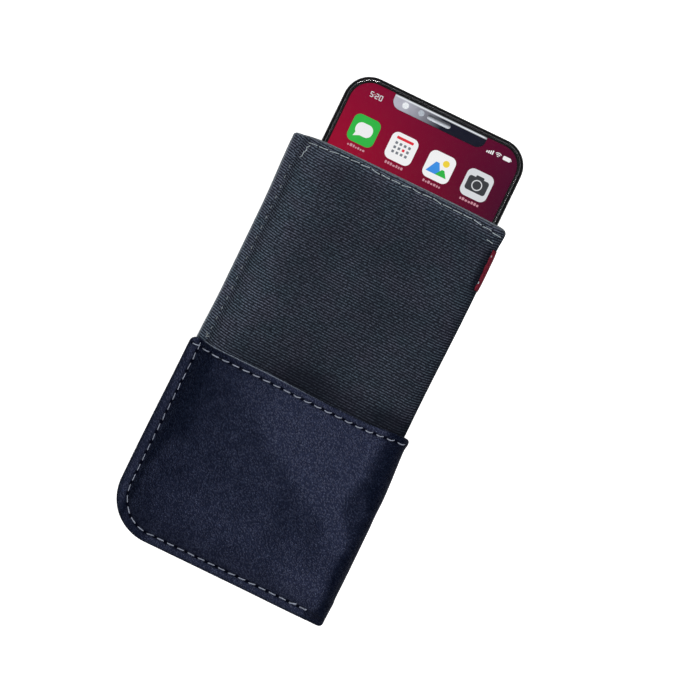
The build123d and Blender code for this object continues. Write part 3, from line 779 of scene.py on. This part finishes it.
# Icons about the origin: outline, layer and colour of each shape.
TAIL = [(-2.6, -1.6), (-0.8, -2.2), (-3.0, -3.2)]
BUBBLE = [(rounded(0, 0.2, 6.6, 4.8, 2.2), 1, WHITE), (TAIL, 1, WHITE)]
PLANNER = [(rounded(0, 3.3, 6.6, 1.0, 0.3), 1, RED)] + [
    (rounded(-2.55 + 1.7 * column, 1.3 - 1.7 * row, 1.0, 1.0, 0.2), 1, RED if (row, column) == (1, 2) else GREY)
    for row in range(3)
    for column in range(4)
]
HILLS = [
    (disc(1.9, 2.0, 1.25), 1, YELLOW),
    (hill(-1.2, -3.0, 1.4, 2.9), 1, BLUE), (hill(1.8, -3.0, -0.5, 2.2), 2, GREEN),
]
CAMERA = [
    (rounded(0, -0.1, 8.0, 5.4, 1.0), 1, CHARCOAL), (rounded(0, 2.9, 3.2, 1.0, 0.4), 1, CHARCOAL),
    (disc(0, -0.1, 2.0), 2, PALE), (disc(0, -0.1, 1.6), 3, CHARCOAL),
]
BARS = [
    (rounded(-2.4 + 1.6 * k, tall / 2 - 2.6, 1.0, tall, 0.3), 1, WHITE)
    for k, tall in enumerate((2.2, 4.6, 3.2, 5.6))
]
CLOCK = [
    (disc(0, 0, 4.0), 1, WHITE),
    (rounded(0, 1.2, 0.4, 2.4, 0.15), 2, DARK), (rounded(0.9, 0, 1.8, 0.4, 0.15), 2, DARK),
]
LINES = [(rounded(-0.4 * k, 2.2 - 1.6 * k, 6.4 - 0.8 * k, 0.7, 0.3), 1, GREY) for k in range(4)]
RING = [(disc(0, 0, 3.2), 1, WHITE), (disc(0, 0, 2.2), 2, BLUE), (disc(0, 0, 1.0), 3, WHITE)]
ICONS = (
    (GREEN, BUBBLE), (WHITE, PLANNER), (WHITE, HILLS), (PALE, CAMERA), (BLUE, BARS),
    (DARK, CLOCK), (WHITE, LINES), (BLUE, RING), (ORANGE, BUBBLE),
)

# Clock figures of seven bars, 0.95 wide and 1.75 high: centre x, centre y, width and height of each bar.
BAR_PLACES = {
    "a": (0, 0.875, 1.05, 0.3), "g": (0, 0, 1.05, 0.3), "d": (0, -0.875, 1.05, 0.3),
    "b": (0.475, 0.4375, 0.3, 0.975), "c": (0.475, -0.4375, 0.3, 0.975),
    "f": (-0.475, 0.4375, 0.3, 0.975), "e": (-0.475, -0.4375, 0.3, 0.975),
}
FIGURES = ((-26.2, "afgcd"), (-24.2, "abged"), (-22.6, "abcdef"))


def moved(shapes, x, y, lift=0):
    """The same shapes at another place and on a higher layer."""
    return [
        ([(px + x, py + y) for px, py in outline], level + lift, colour)
        for outline, level, colour in shapes
    ]


def status_row():
    """Clock, signal bars, radio waves and battery, about the row's middle height."""
    shapes = []
    for x, bars in FIGURES:
        for cx, cy, width, height in (BAR_PLACES[bar] for bar in bars):
            shapes.append((rounded(x + cx, cy, width, height, 0.1, 2), 1, PALE))
    shapes += [(disc(-25.2, d, 0.17, 8), 1, PALE) for d in (-0.4, 0.4)]
    for k in range(4):
        height = 0.7 + 0.3 * k
        shapes.append((rounded(20.3 + 0.72 * k, height / 2 - 0.85, 0.5, height, 0.1, 2), 1, WHITE))
    for k in range(3):
        start, sweep = math.radians(48), math.radians(84)
        fan = disc(24.6, -0.9, 0.55 + 0.62 * k, 8, start, sweep)
        shapes.append((fan + disc(24.6, -0.9, 0.24 + 0.62 * k, 8, start, sweep)[::-1], 1, WHITE))
    battery, pole = rounded(28.0, 0, 3.0, 1.5, 0.45), rounded(29.75, 0, 0.25, 0.6, 0.1, 2)
    return shapes + [(battery, 1, WHITE), (pole, 1, WHITE)]


def icon(number, x, y, lift=0):
    tint, shapes = ICONS[number % len(ICONS)]
    return moved([(rounded(0, 0, TILE, TILE, TILE_ROUND), 0, tint)] + shapes, x, y, lift)


def caption(x, y, rng):
    """A row of small blocks in place of a name."""
    gap = 0.28
    widths, heights = rng.uniform(0.55, 1.0, 7), rng.uniform(0.6, 1.05, 7)
    left = x - (widths.sum() + 6 * gap) / 2
    shapes = []
    for width, height in zip(widths, heights):
        shapes.append((rounded(left + width / 2, y - 7.1 + height / 2, width, height, 0.2, 2), 0, CAPTION))
        left += width + gap
    return shapes


def home_screen():
    """All shapes of the picture: outline, layer and colour of each."""
    rng = np.random.default_rng(12)
    shapes = moved(status_row(), 0, PHONE_TOP - 6.5)
    for row in range(6):
        y = PHONE_TOP - 19.7 - 17.4 * row
        for column, x in enumerate(COLUMNS):
            shapes += icon(column + 5 * row, x, y) + caption(x, y, rng)
    for k in (-1, 0, 1):
        shapes.append((disc(1.8 * k, PHONE_FOOT + 28.6, 0.45, 14), 0, PAGE_DOT if k else WHITE))
    shapes.append((rounded(0, PHONE_FOOT + 14.6, 62.0, 18.0, 5.0), 0, DOCK))
    for column, x in enumerate(COLUMNS):
        shapes += icon(3 * column + 4, x, PHONE_FOOT + 14.6, 1)
    return shapes


def make_picture():
    points, faces, tints = [], [], []
    for outline, level, colour in home_screen():
        count = len(outline)
        index = len(points) + np.arange(2 * count).reshape(2, count)
        low = SCREEN_FACE + 1.2 * LAYER * level
        points += [(x, y, z) for z in (low, low + LAYER * 0.8) for x, y in outline]
        faces += [index[1].tolist(), index[0, ::-1].tolist()] + ring_quads(index)
        tints += [colour] * (2 * count)
    piece = build("screen_picture", points, faces, {"tint": np.array(tints)})
    piece.data.shade_flat()
    place_piece(piece, None, "screen", "picture", "phone")


# ---- materials --------------------------------------------------------------------------
class Wire:
    """An output of a shader node.  Arithmetic on it adds nodes; a tuple stands for a colour or a vector."""

    def __init__(self, socket):
        self.socket = socket

    def node(self, kind, inputs, output=0, **settings):
        return add_node(self.socket.id_data, kind, inputs, output, **settings)

    def math(self, operation, other=0.0, clamp=False):
        return self.node("Math", {0: self, 1: other}, operation=operation, use_clamp=clamp)

    def vector(self, operation, other, output=0):
        return self.node("VectorMath", {0: self, 1: other}, output, operation=operation)

    def __mul__(self, other):
        return self.vector("MULTIPLY", other) if isinstance(other, tuple) else self.math("MULTIPLY", other)

    def __add__(self, other):
        return self.math("ADD", other)

    def __rsub__(self, other):
        return self.node("Math", {0: other, 1: self}, operation="SUBTRACT")

    def part(self, axis):
        return self.node("SeparateXYZ", {0: self}, axis)

    def span(self, low, high, to_low=0.0, to_high=1.0):
        """Carries low..high to to_low..to_high, clamped."""
        return self.node("MapRange", {"Value": self, 1: low, 2: high, 3: to_low, 4: to_high})

    def noise(self, scale, detail=2.0, rough=0.5, output="Fac"):
        inputs = {"Vector": self, "Scale": scale, "Detail": detail, "Roughness": rough}
        return self.node("TexNoise", inputs, output)

    def cells(self, scale, spread=None, **inputs):
        if spread is not None:
            inputs["Randomness"] = spread
        return self.node("TexVoronoi", {"Vector": self, "Scale": scale, **inputs})

    def shaken(self, scale, amount):
        """The same places, each moved by up to amount millimetres."""
        shake = self.noise(scale, output="Color").vector("SUBTRACT", (0.5, 0.5, 0.5))
        return self.vector("ADD", shake * ((2 * amount,) * 3))

    def bump(self, depth):
        """Normal from a height of 0 to 1 that is worth depth millimetres."""
        return self.node("Bump", {"Height": self, "Distance": depth * MM, "Strength": 1.0})


def add_node(tree, kind, inputs=(), output=0, **settings):
    made = tree.nodes.new("ShaderNode" + kind)
    for key, value in settings.items():
        setattr(made, key, value)
    for key, value in dict(inputs).items():
        feed(made.inputs[key], value)
    return Wire(made.outputs[output])


def feed(socket, value):
    if isinstance(value, Wire):
        socket.id_data.links.new(value.socket, socket)
    elif isinstance(value, tuple) and len(value) == 3 and len(socket.default_value) == 4:
        socket.default_value = (*value, 1.0)
    else:
        socket.default_value = value


def mix(share, a, b, kind="MIX"):
    wire = share if isinstance(share, Wire) else a
    return wire.node("Mix", {0: share, 6: a, 7: b}, 2, data_type="RGBA", blend_type=kind)


def times(colour, factor, more=0.0):
    return tuple(factor * part + more for part in colour)


class Look:
    """A node material."""

    def __init__(self, name):
        self.material = bpy.data.materials.new(name)
        self.material.use_nodes = True
        self.tree = self.material.node_tree

    def node(self, kind, inputs=(), output=0, **settings):
        return add_node(self.tree, kind, inputs, output, **settings)

    def attribute(self, name, output="Fac"):
        return self.node("Attribute", output=output, attribute_name=name)

    def sheet(self):
        """Place on the flat sheet, in millimetres."""
        return self.attribute("sheet", "Vector")

    def place(self):
        """Place on the object, in millimetres."""
        metres = self.node("TexCoord", output="Object")
        return self.node("VectorMath", {0: metres, "Scale": 1 / MM}, operation="SCALE")

    def finish(self, colour, rough, normal=None, gloss=None, **others):
        inputs = {"Base Color": colour, "Roughness": rough, "Normal": normal, "Specular IOR Level": gloss}
        inputs |= {label.replace("_", " "): value for label, value in others.items()}
        surface = self.tree.nodes["Principled BSDF"]
        for label, value in inputs.items():
            if value is not None:
                feed(surface.inputs[label], value)
        return self.material


def leather_look():
    """Fine pebbled leather, dyed dark blue, with painted edges, painted light and shade over its shape, painted
    shade in the stitched grooves, a painted highlight along the pocket's top edge and painted highlights on the
    pebble crowns.
    """
    look = Look("leather")
    sheet = look.sheet()
    place = sheet.shaken(0.9, 0.2)
    edge, painted_groove_shade, pit = look.attribute("edge"), look.attribute("painted_groove_shade"), look.attribute("pit")
    turn = {"Vector": place, "Angle": math.radians(32)}
    pull = look.node("VectorRotate", turn, rotation_type="Z_AXIS") * (0.72, 1.0, 1)
    soft = {"Vector": pull, "Scale": 1.8, "Smoothness": 0.25, "Randomness": 0.8}
    pebble = look.node("TexVoronoi", soft, feature="SMOOTH_F1").span(0.12, 0.75, 1.0, 0.0)
    fine = place.noise(3.2, 3.0, 0.6)
    crease = (sheet * (0.5, 1.1, 1)).noise(0.55, 4.0, 0.6)
    # painted light and shade over the wallet's shape, with a little random variation of the dye
    tone = look.attribute("tone") + sheet.noise(0.2).span(0.25, 0.75, -0.06, 0.06)
    dye_with_painted_light = mix(tone, (0.0006, 0.0016, 0.0085), (0.0235, 0.027, 0.0575))
    deep_dye_with_painted_light = mix(tone, (0.0003, 0.0008, 0.0045), (0.006, 0.0076, 0.021))
    colour = mix(pebble.span(0.0, 0.6, 0.7, 0.0), dye_with_painted_light, deep_dye_with_painted_light)
    grit = pull.noise(2.8, 1.0)
    # painted highlights on the pebble crowns, brightest where the painted light is
    crown = grit.span(0.3, 0.7, 0.5, 1.0) * pebble.span(0.4, 0.95) * tone.span(0.12, 0.85, 0.03, 1.0)
    colour = mix(crown, colour, (0.07, 0.077, 0.118))
    # painted shade in the stitched grooves
    colour = mix(painted_groove_shade * 0.6, colour, (0.002, 0.0025, 0.007))
    colour = mix(pit.span(0.15, 0.6, 0.0, 0.95), colour, (0.0008, 0.0012, 0.0045))
    colour = mix(edge * 0.88, colour, (0.002, 0.0025, 0.006))
    # painted highlight along the pocket's top edge
    colour = mix(look.attribute("painted_edge_highlight") * fine.span(0.35, 0.6, 0.5, 1.0), colour, (0.36, 0.41, 0.5))
    rough = fine.span(0.3, 0.7, 0.36, 0.5) + pebble * -0.06
    gloss = pebble.span(0.1, 0.8, 0.14, 0.3) * pit.span(0.1, 0.5, 1.0, 0.12)
    gloss = gloss * tone.span(0.0, 0.7, 0.55, 1.0)
    relief = pebble + fine * 0.35 + crease * 0.8
    return look.finish(
        colour, rough, relief.bump(0.4), gloss, Specular_Tint=(0.45, 0.62, 1.0),
        Sheen_Weight=0.03, Sheen_Roughness=0.5, Sheen_Tint=(0.5, 0.6, 1.0))


def canvas_look():
    """Ribbed canvas: light weft ribs over a dark ground, knotted and broken like spun yarn."""
    look = Look("canvas")
    sheet = look.sheet()
    along = sheet.shaken(0.16, 0.22).shaken(1.3, 0.15).vector("DOT_PRODUCT", (0.022, 1, 0), "Value")
    rib = (along * (TURN / RIB)).math("SINE").span(-0.55, 0.9, 0.02, 1.0)
    knots = (sheet * (1.1, 1.5, 1)).noise(1.8, 3.0, 0.75)
    fibre = (sheet * (2.2, 7.0, 1)).noise(1.0, 3.0, 0.65)
    breaks = (sheet * (0.75, 1.2, 1)).noise(1.3, 1.0)
    slant = sheet.shaken(0.7, 0.6).vector("DOT_PRODUCT", (0.62, -0.36, 0), "Value")
    cell = (slant * TURN).math("SINE").span(-0.8, 0.7, 0.6, 1.0)
    ridge = rib * (cell * breaks.span(0.36, 0.56, 0.25, 1.0))
    light = ridge * knots.span(0.34, 0.66, 0.2, 1.45)
    light = light.math("ADD", fibre.span(0.4, 0.75, 0.0, 0.1), clamp=True)
    # the yarn's tone, with painted shade near the leather and beside the label
    light = light.math("MULTIPLY", look.attribute("tone").span(0.0, 1.0, 0.2, 1.58), clamp=True)
    colour = mix(light, (0.0018, 0.0024, 0.0065), (0.122, 0.136, 0.188))
    drift = sheet.noise(0.11).span(0.35, 0.65)
    colour = mix(drift, colour, mix(1.0, colour, (0.84, 1.03, 0.98), "MULTIPLY"))
    colour = mix(look.attribute("edge") * fibre.span(0.35, 0.65, 0.1, 0.9), colour, (0.34, 0.38, 0.41))
    colour = mix(look.attribute("pit") * 0.8, colour, (0.003, 0.003, 0.005))
    relief = ridge * 0.8 + knots * 0.5
    return look.finish(colour, fibre.span(0.3, 0.7, 0.8, 0.95), relief.bump(0.17), 0.08)


def lining_look():
    """Brushed microfibre."""
    look = Look("lining")
    place = look.place()
    nap = (place * (1, 0.35, 1)).noise(2.6, 4.0, 0.7)
    patch = place.noise(0.12, 3.0).span(0.4, 0.65, 0.0, 0.35)
    colour = mix(patch, mix(nap, (0.006, 0.007, 0.01), (0.03, 0.033, 0.042)), (0.045, 0.05, 0.06))
    return look.finish(colour, 0.92, nap.bump(0.06), 0.15, Sheen_Weight=0.3, Sheen_Roughness=0.4)


def label_look():
    """Dense red ribbon with a fine cross rib."""
    look = Look("label")
    sheet = look.sheet().shaken(1.0, 0.05)
    bricks = {
        "Vector": sheet, "Color1": (0, 0, 0), "Color2": (1, 1, 1), "Mortar": (0, 0, 0), "Scale": 1.0,
        "Mortar Size": 0.05, "Mortar Smooth": 0.8, "Bias": 0.0, "Brick Width": 0.8, "Row Height": 0.34,
    }
    weave = look.node("TexBrick", bricks, offset=0.5)
    gap = Wire(weave.socket.node.outputs["Fac"])
    slub = (sheet * (0.4, 2.0, 1)).noise(1.0, 3.0).span(0.3, 0.7)
    colour = mix(slub, (0.15, 0.007, 0.024), (0.33, 0.034, 0.06))
    colour = mix(gap * 0.7, colour, (0.06, 0.001, 0.004))
    colour = mix(look.attribute("edge") * 0.6, colour, (0.09, 0.002, 0.006))
    return look.finish(colour, 0.7, ((1.0 - gap) + weave * 0.3).bump(0.07), 0.08)


def thread_look(name, dark, light):
    """Twisted thread, with painted shade between its plies and where it enters the sheet."""
    look = Look(name)
    ply, end, shade = look.attribute("ply"), look.attribute("end"), look.attribute("shade")
    fibre = look.place().noise(5.0, 3.0, 0.7)
    # painted shade between the plies, with random fibre and stitch variation
    share = (ply.span(-1.0, 0.4, 0.0, 0.75) + fibre * 0.35) * shade.span(0.0, 1.0, 0.72, 1.0)
    # painted shade towards both ends, where the thread enters the sheet
    colour = mix(end.span(0.78, 1.0, 0.0, 0.85), mix(share, dark, light), times(dark, 0.3))
    return look.finish(colour, 0.62, (ply * 0.5 + fibre).bump(0.05), 0.2)


def metal_look(name, colour, rough):
    """Satin metal with a fine brushed or blasted grain and small smudges."""
    look = Look(name)
    place = look.place()
    grain = (place * (1, 1, 12)).noise(3.0, 3.0, 0.7)
    smudge = place.noise(0.11, 3.0)
    tint = mix(smudge.span(0.35, 0.7), colour, times(colour, 1.25))
    roughness = smudge.span(0.35, 0.7, rough, rough + 0.1) + grain * 0.08
    return look.finish(tint, roughness, grain.bump(0.008), Metallic=0.92)


def glass_look():
    """Clear cover glass: see-through, with faint smears, and a weak mirror that is stronger on its rim."""
    look = Look("clear_glass")
    smear = (look.place() * (1, 0.4, 1)).noise(0.08, 4.0, 0.6)
    gloss = look.node("BsdfGlossy", {"Color": (1, 1, 1), "Roughness": smear.span(0.4, 0.7, 0.1, 0.17)})
    clear = look.node("BsdfTransparent", {"Color": (1, 1, 1)})
    rim = look.node("NewGeometry", output="Normal").part(2).math("ABSOLUTE").span(0.97, 0.85)
    share = (look.node("Fresnel", {"IOR": 1.45}) * 0.02).math("ADD", rim * 0.35, clamp=True)
    glass = look.node("MixShader", {0: share, 1: clear, 2: gloss})
    look.tree.nodes.remove(look.tree.nodes["Principled BSDF"])
    feed(look.tree.nodes["Material Output"].inputs["Surface"], glass)
    return look.material


def dark_look(name, colour, rough, speck, depth, gloss):
    """Black moulded or coated surface with faint dust and an uneven gloss."""
    look = Look(name)
    place = look.place()
    grain = place.noise(speck, 3.0, 0.65)
    tint = mix(grain.span(0.5, 0.85), colour, times(colour, 1.8, 0.003))
    roughness = place.noise(0.07, 3.0).span(0.35, 0.7, rough, rough + 0.12) + grain * 0.05
    return look.finish(tint, roughness, grain.bump(depth), gloss)


def mask_look():
    """Black mask behind the glass; in the notch a painted reflection makes it pale at the left, and a pale line
    runs along the notch's top.
    """
    look = Look("bezel_mask")
    place = look.place()
    y = place.part(1)
    across = place.part(0)
    beside = across.math("ABSOLUTE")
    inside = y.span(PHONE_TOP - 2.5, PHONE_TOP - 2.9) * beside.span(19.6, 18.6)
    line = y.span(PHONE_TOP - 3.5, PHONE_TOP - 3.1) * beside.span(19.4, 17.0)
    # painted reflection: pale grey at the notch's left end, fading to dark blue at its right
    tone = mix(across.span(-14.0, 1.5, 1.0, 0.0), (0.0015, 0.002, 0.012), (0.5, 0.5, 0.58))
    tone = mix(place.noise(0.3) * 0.25, tone, (0.02, 0.025, 0.04))
    tone = mix(line, tone, (0.75, 0.78, 0.82))
    grain = place.noise(1.5, 3.0)
    base = mix(grain, (0.001, 0.001, 0.0013), (0.004, 0.004, 0.005))
    return look.finish(mix(inside, base, tone), 0.35, grain.bump(0.004), 0.05)


def lit(look, colour, strength):
    """Screen surface that gives out its own light."""
    black = (0.002, 0.002, 0.002)
    return look.finish(black, 0.4, None, 0.02, Emission_Color=colour, Emission_Strength=strength)


def display_look():
    """Lit display: deep red with a violet cast, over a very fine pixel grid."""
    look = Look("screen")
    place = look.place()
    cloud = place.shaken(0.02, 6.0)
    x, y = cloud.part(0), cloud.part(1)
    colour = mix(x.span(-30, 32), (0.4, 0.001, 0.028), (0.062, 0.0, 0.018))
    colour = mix(y.span(112.0, 150.0) * 0.45, colour, (0.11, 0.0, 0.035))
    colour = mix(y.span(110.0, 10.0) * 0.75, colour, (0.05, 0.003, 0.06))
    dots = place.cells(9.0, 0.0).span(0.2, 0.6, 0.0, 0.12)
    return lit(look, mix(dots, colour, (0, 0, 0)), 0.9)


def picture_look():
    """Lit icons, over the same pixel grid."""
    look = Look("screen_picture")
    place = look.place()
    dots = place.cells(9.0, 0.0).span(0.2, 0.6, 0.0, 0.1)
    fade = place.noise(0.3, 1.0).span(0.3, 0.7, 0.0, 0.12)
    colour = mix(dots, look.attribute("tint", "Color"), (0, 0, 0))
    return lit(look, mix(fade, colour, (1, 1, 1), "SOFT_LIGHT"), 0.95)


def board_look():
    """Solder mask with copper tracks and pads."""
    look = Look("circuit_board")
    place = look.place()
    bricks = {
        "Vector": place, "Color1": (0, 0, 0), "Color2": (1, 1, 1), "Mortar": (1, 1, 1), "Scale": 1.0,
        "Mortar Size": 0.12, "Brick Width": 3.1, "Row Height": 1.3,
    }
    tracks = look.node("TexBrick", bricks, "Fac")
    colour = mix(tracks, (0.004, 0.03, 0.018), (0.03, 0.09, 0.05))
    colour = mix(place.cells(0.6).span(0.22, 0.2), colour, (0.5, 0.32, 0.1))
    return look.finish(colour, 0.45, tracks.bump(0.02))


def lens_look():
    """Coated lens: black with a blue and violet flare towards its centre."""
    look = Look("lens_glass")
    tilt = look.node("LayerWeight", {"Blend": 0.4}, "Facing").span(0.3, 0.9, 0.0, 0.5)
    ring = look.place().cells(0.35, 0.2).span(0.1, 0.6)
    colour = mix(tilt, mix(ring, (0.012, 0.01, 0.035), (0.001, 0.002, 0.004)), (0.02, 0.05, 0.08))
    return look.finish(colour, 0.06, Coat_Weight=0.6, Coat_Roughness=0.03)


def pale_lens_look(name, colour):
    """Small window with a painted reflection of the sky, speckled by its coating."""
    look = Look(name)
    specks = look.place().cells(2.2, 0.9)
    tint = mix(specks.span(0.15, 0.5), tuple(min(1.0, part) for part in times(colour, 1.5)), colour)
    return look.finish(tint, 0.25, specks.bump(0.01))


def mesh_look():
    """Fine woven steel over the earpiece, with painted shade towards its top."""
    look = Look("earpiece_mesh")
    place = look.place()
    wires = place.cells(4.0, 0.0)
    # painted shade in the upper part of the slot, paler towards its bottom
    tint = mix(place.part(1).span(PHONE_TOP - 4.6, PHONE_TOP - 5.5), (0.035, 0.04, 0.05), (0.5, 0.53, 0.58))
    tint = mix(wires.span(0.3, 0.6, 0.0, 0.6), tint, (0.01, 0.011, 0.014))
    return look.finish(tint, 0.45, wires.bump(0.02), Metallic=0.5)


def flash_look():
    """Pale diffuser over a yellow lamp."""
    look = Look("flash")
    cells = look.place().cells(1.8)
    colour = mix(cells.span(0.1, 0.5), (0.85, 0.7, 0.35), (0.8, 0.78, 0.7))
    return look.finish(colour, 0.3, cells.bump(0.05))


def paper_look():
    """Seamless white paper; it throws back little light, so that the object's sides keep their depth."""
    look = Look("paper")
    seen = look.node("LightPath", output="Is Camera Ray")
    pale = mix(look.place().noise(0.25, 3.0), (0.86, 0.86, 0.86), (0.9, 0.9, 0.9))
    colour = mix(seen, (0.22, 0.22, 0.23), pale)
    return look.finish(colour, 0.95, None, 0.1, Emission_Color=(1, 1, 1), Emission_Strength=seen * 0.75)


LOOKS = {
    "leather": leather_look(),
    "canvas": canvas_look(),
    "lining": lining_look(),
    "label": label_look(),
    "thread_grey": thread_look("thread_grey", (0.07, 0.077, 0.105), (0.44, 0.48, 0.59)),
    "thread_light": thread_look("thread_light", (0.14, 0.165, 0.18), (0.62, 0.7, 0.74)),
    "thread_dark": thread_look("thread_dark", (0.05, 0.058, 0.065), (0.34, 0.38, 0.4)),
    "phone_metal": metal_look("phone_metal", (0.012, 0.012, 0.0135), 0.2),
    "steel": metal_look("steel", (0.42, 0.42, 0.43), 0.3),
    "mesh": mesh_look(),
    # painted reflection: both windows are coloured pale as if catching the sky
    "front_lens": pale_lens_look("front_lens", (0.75, 0.78, 0.82)),
    "sensor": pale_lens_look("sensor", (0.36, 0.4, 0.46)),
    "clear_glass": glass_look(),
    "black_glass": dark_look("black_glass", (0.004, 0.004, 0.005), 0.05, 0.9, 0.001, 0.5),
    "black_plastic": dark_look("black_plastic", (0.012, 0.012, 0.013), 0.5, 2.2, 0.02, 0.4),
    "mask": mask_look(),
    "screen": display_look(),
    "picture": picture_look(),
    "circuit_board": board_look(),
    "lens_glass": lens_look(),
    "flash": flash_look(),
}
CARRIED_OVER = {  # look of each CAD node of the phone, whose shapes stay
    "phone_metal": ("frame", "camera_plate"), "clear_glass": ("cover_glass",), "black_glass": ("back_glass",),
    "mask": ("bezel_mask",), "screen": ("display",), "mesh": ("earpiece_mesh",), "front_lens": ("front_camera",),
    "sensor": ("light_sensor",), "lens_glass": ("lens_wide", "lens_tele"), "flash": ("flash",),
    "black_plastic": ("battery",), "circuit_board": ("logic_board",), "steel": ("port_shell", "bottom_screws"),
}


def dress(node, look):
    for slot in bpy.data.objects[node].material_slots:
        slot.material = LOOKS[look]


# ---- studio -----------------------------------------------------------------------------
PHOTO_ROLL = math.radians(25.8)
VIEW_X, VIEW_Y = 2.12, 59.35  # what the camera is centred on
VIEW_WIDTH = 247.1
LENS, SENSOR = 120.0, 36.0
MIDDLE = (0, 55, 0)
FLOOR_REACH = 12000.0
ROOM_LIGHT, ROOM_SEEN = 0.1, 0.95  # strength of the room as a light, and as the camera sees it


def stand(name, data, place):
    """Object of a light or camera, at a place in millimetres."""
    thing = bpy.data.objects.new(name, data)
    bpy.context.scene.collection.objects.link(thing)
    thing.location = np.array(place) * MM
    return thing


def softbox(name, place, aim, size, power):
    data = bpy.data.lights.new(name, "AREA")
    data.shape = "RECTANGLE"
    data.size, data.size_y = size[0] * MM, size[1] * MM
    data.energy = power
    lamp = stand(name, data, place)
    way = Vector(np.array(aim, float) - np.array(place, float))
    lamp.rotation_euler = way.to_track_quat("-Z", "Y").to_euler()
    return lamp


def studio():
    """Pale floor, even room light, softboxes beyond both ends of the object, and the photo's camera."""
    r = FLOOR_REACH
    floor = build("floor", [(-r, -r, 0), (r, -r, 0), (r, r, 0), (-r, r, 0)], [[0, 1, 2, 3]])
    floor.location.z = CAD_BOX[0][2] - 0.3 * MM
    floor.data.materials.append(paper_look())
    scene = bpy.context.scene
    scene.world = bpy.data.worlds.new("studio")
    scene.world.use_nodes = True
    tree = scene.world.node_tree
    background = tree.nodes["Background"]
    seen = add_node(tree, "LightPath", output="Is Camera Ray")
    feed(background.inputs["Color"], (0.93, 0.96, 1.0))
    feed(background.inputs["Strength"], seen.span(0.0, 1.0, ROOM_LIGHT, ROOM_SEEN))
    softbox("softbox_overhead", (190, 90, 1050), MIDDLE, (200, 1300), 7.5)
    softbox("softbox_mouth_end", (-100, 900, 700), MIDDLE, (420, 300), 3.0).visible_glossy = False
    softbox("softbox_foot_end", (60, -760, 760), MIDDLE, (420, 300), 4.0)
    # glint on the rounded rim of the phone's upper left corner
    softbox("softbox_corner", (-183, 394, 308), (-26, 142, 11), (220, 220), 2.2).visible_diffuse = False
    data = bpy.data.cameras.new("camera")
    data.lens, data.sensor_width = LENS, SENSOR
    data.clip_start = 0.01
    camera = stand("camera", data, (VIEW_X, VIEW_Y, VIEW_WIDTH * LENS / SENSOR + MID))
    camera.rotation_euler = (0, 0, PHOTO_ROLL)
    scene.camera = camera
    scene.view_settings.view_transform = "Standard"


# ---- the object -------------------------------------------------------------------------
make_leather()
make_canvas(1, "front")
make_canvas(-1, "back")
make_lining()
sew()
make_label()
make_picture()
for look, parts in CARRIED_OVER.items():
    for part in parts:
        dress("phone_" + part, look)
for button in ("power", "volume_up", "volume_down"):
    dress(button + "_button", "phone_metal")
studio()
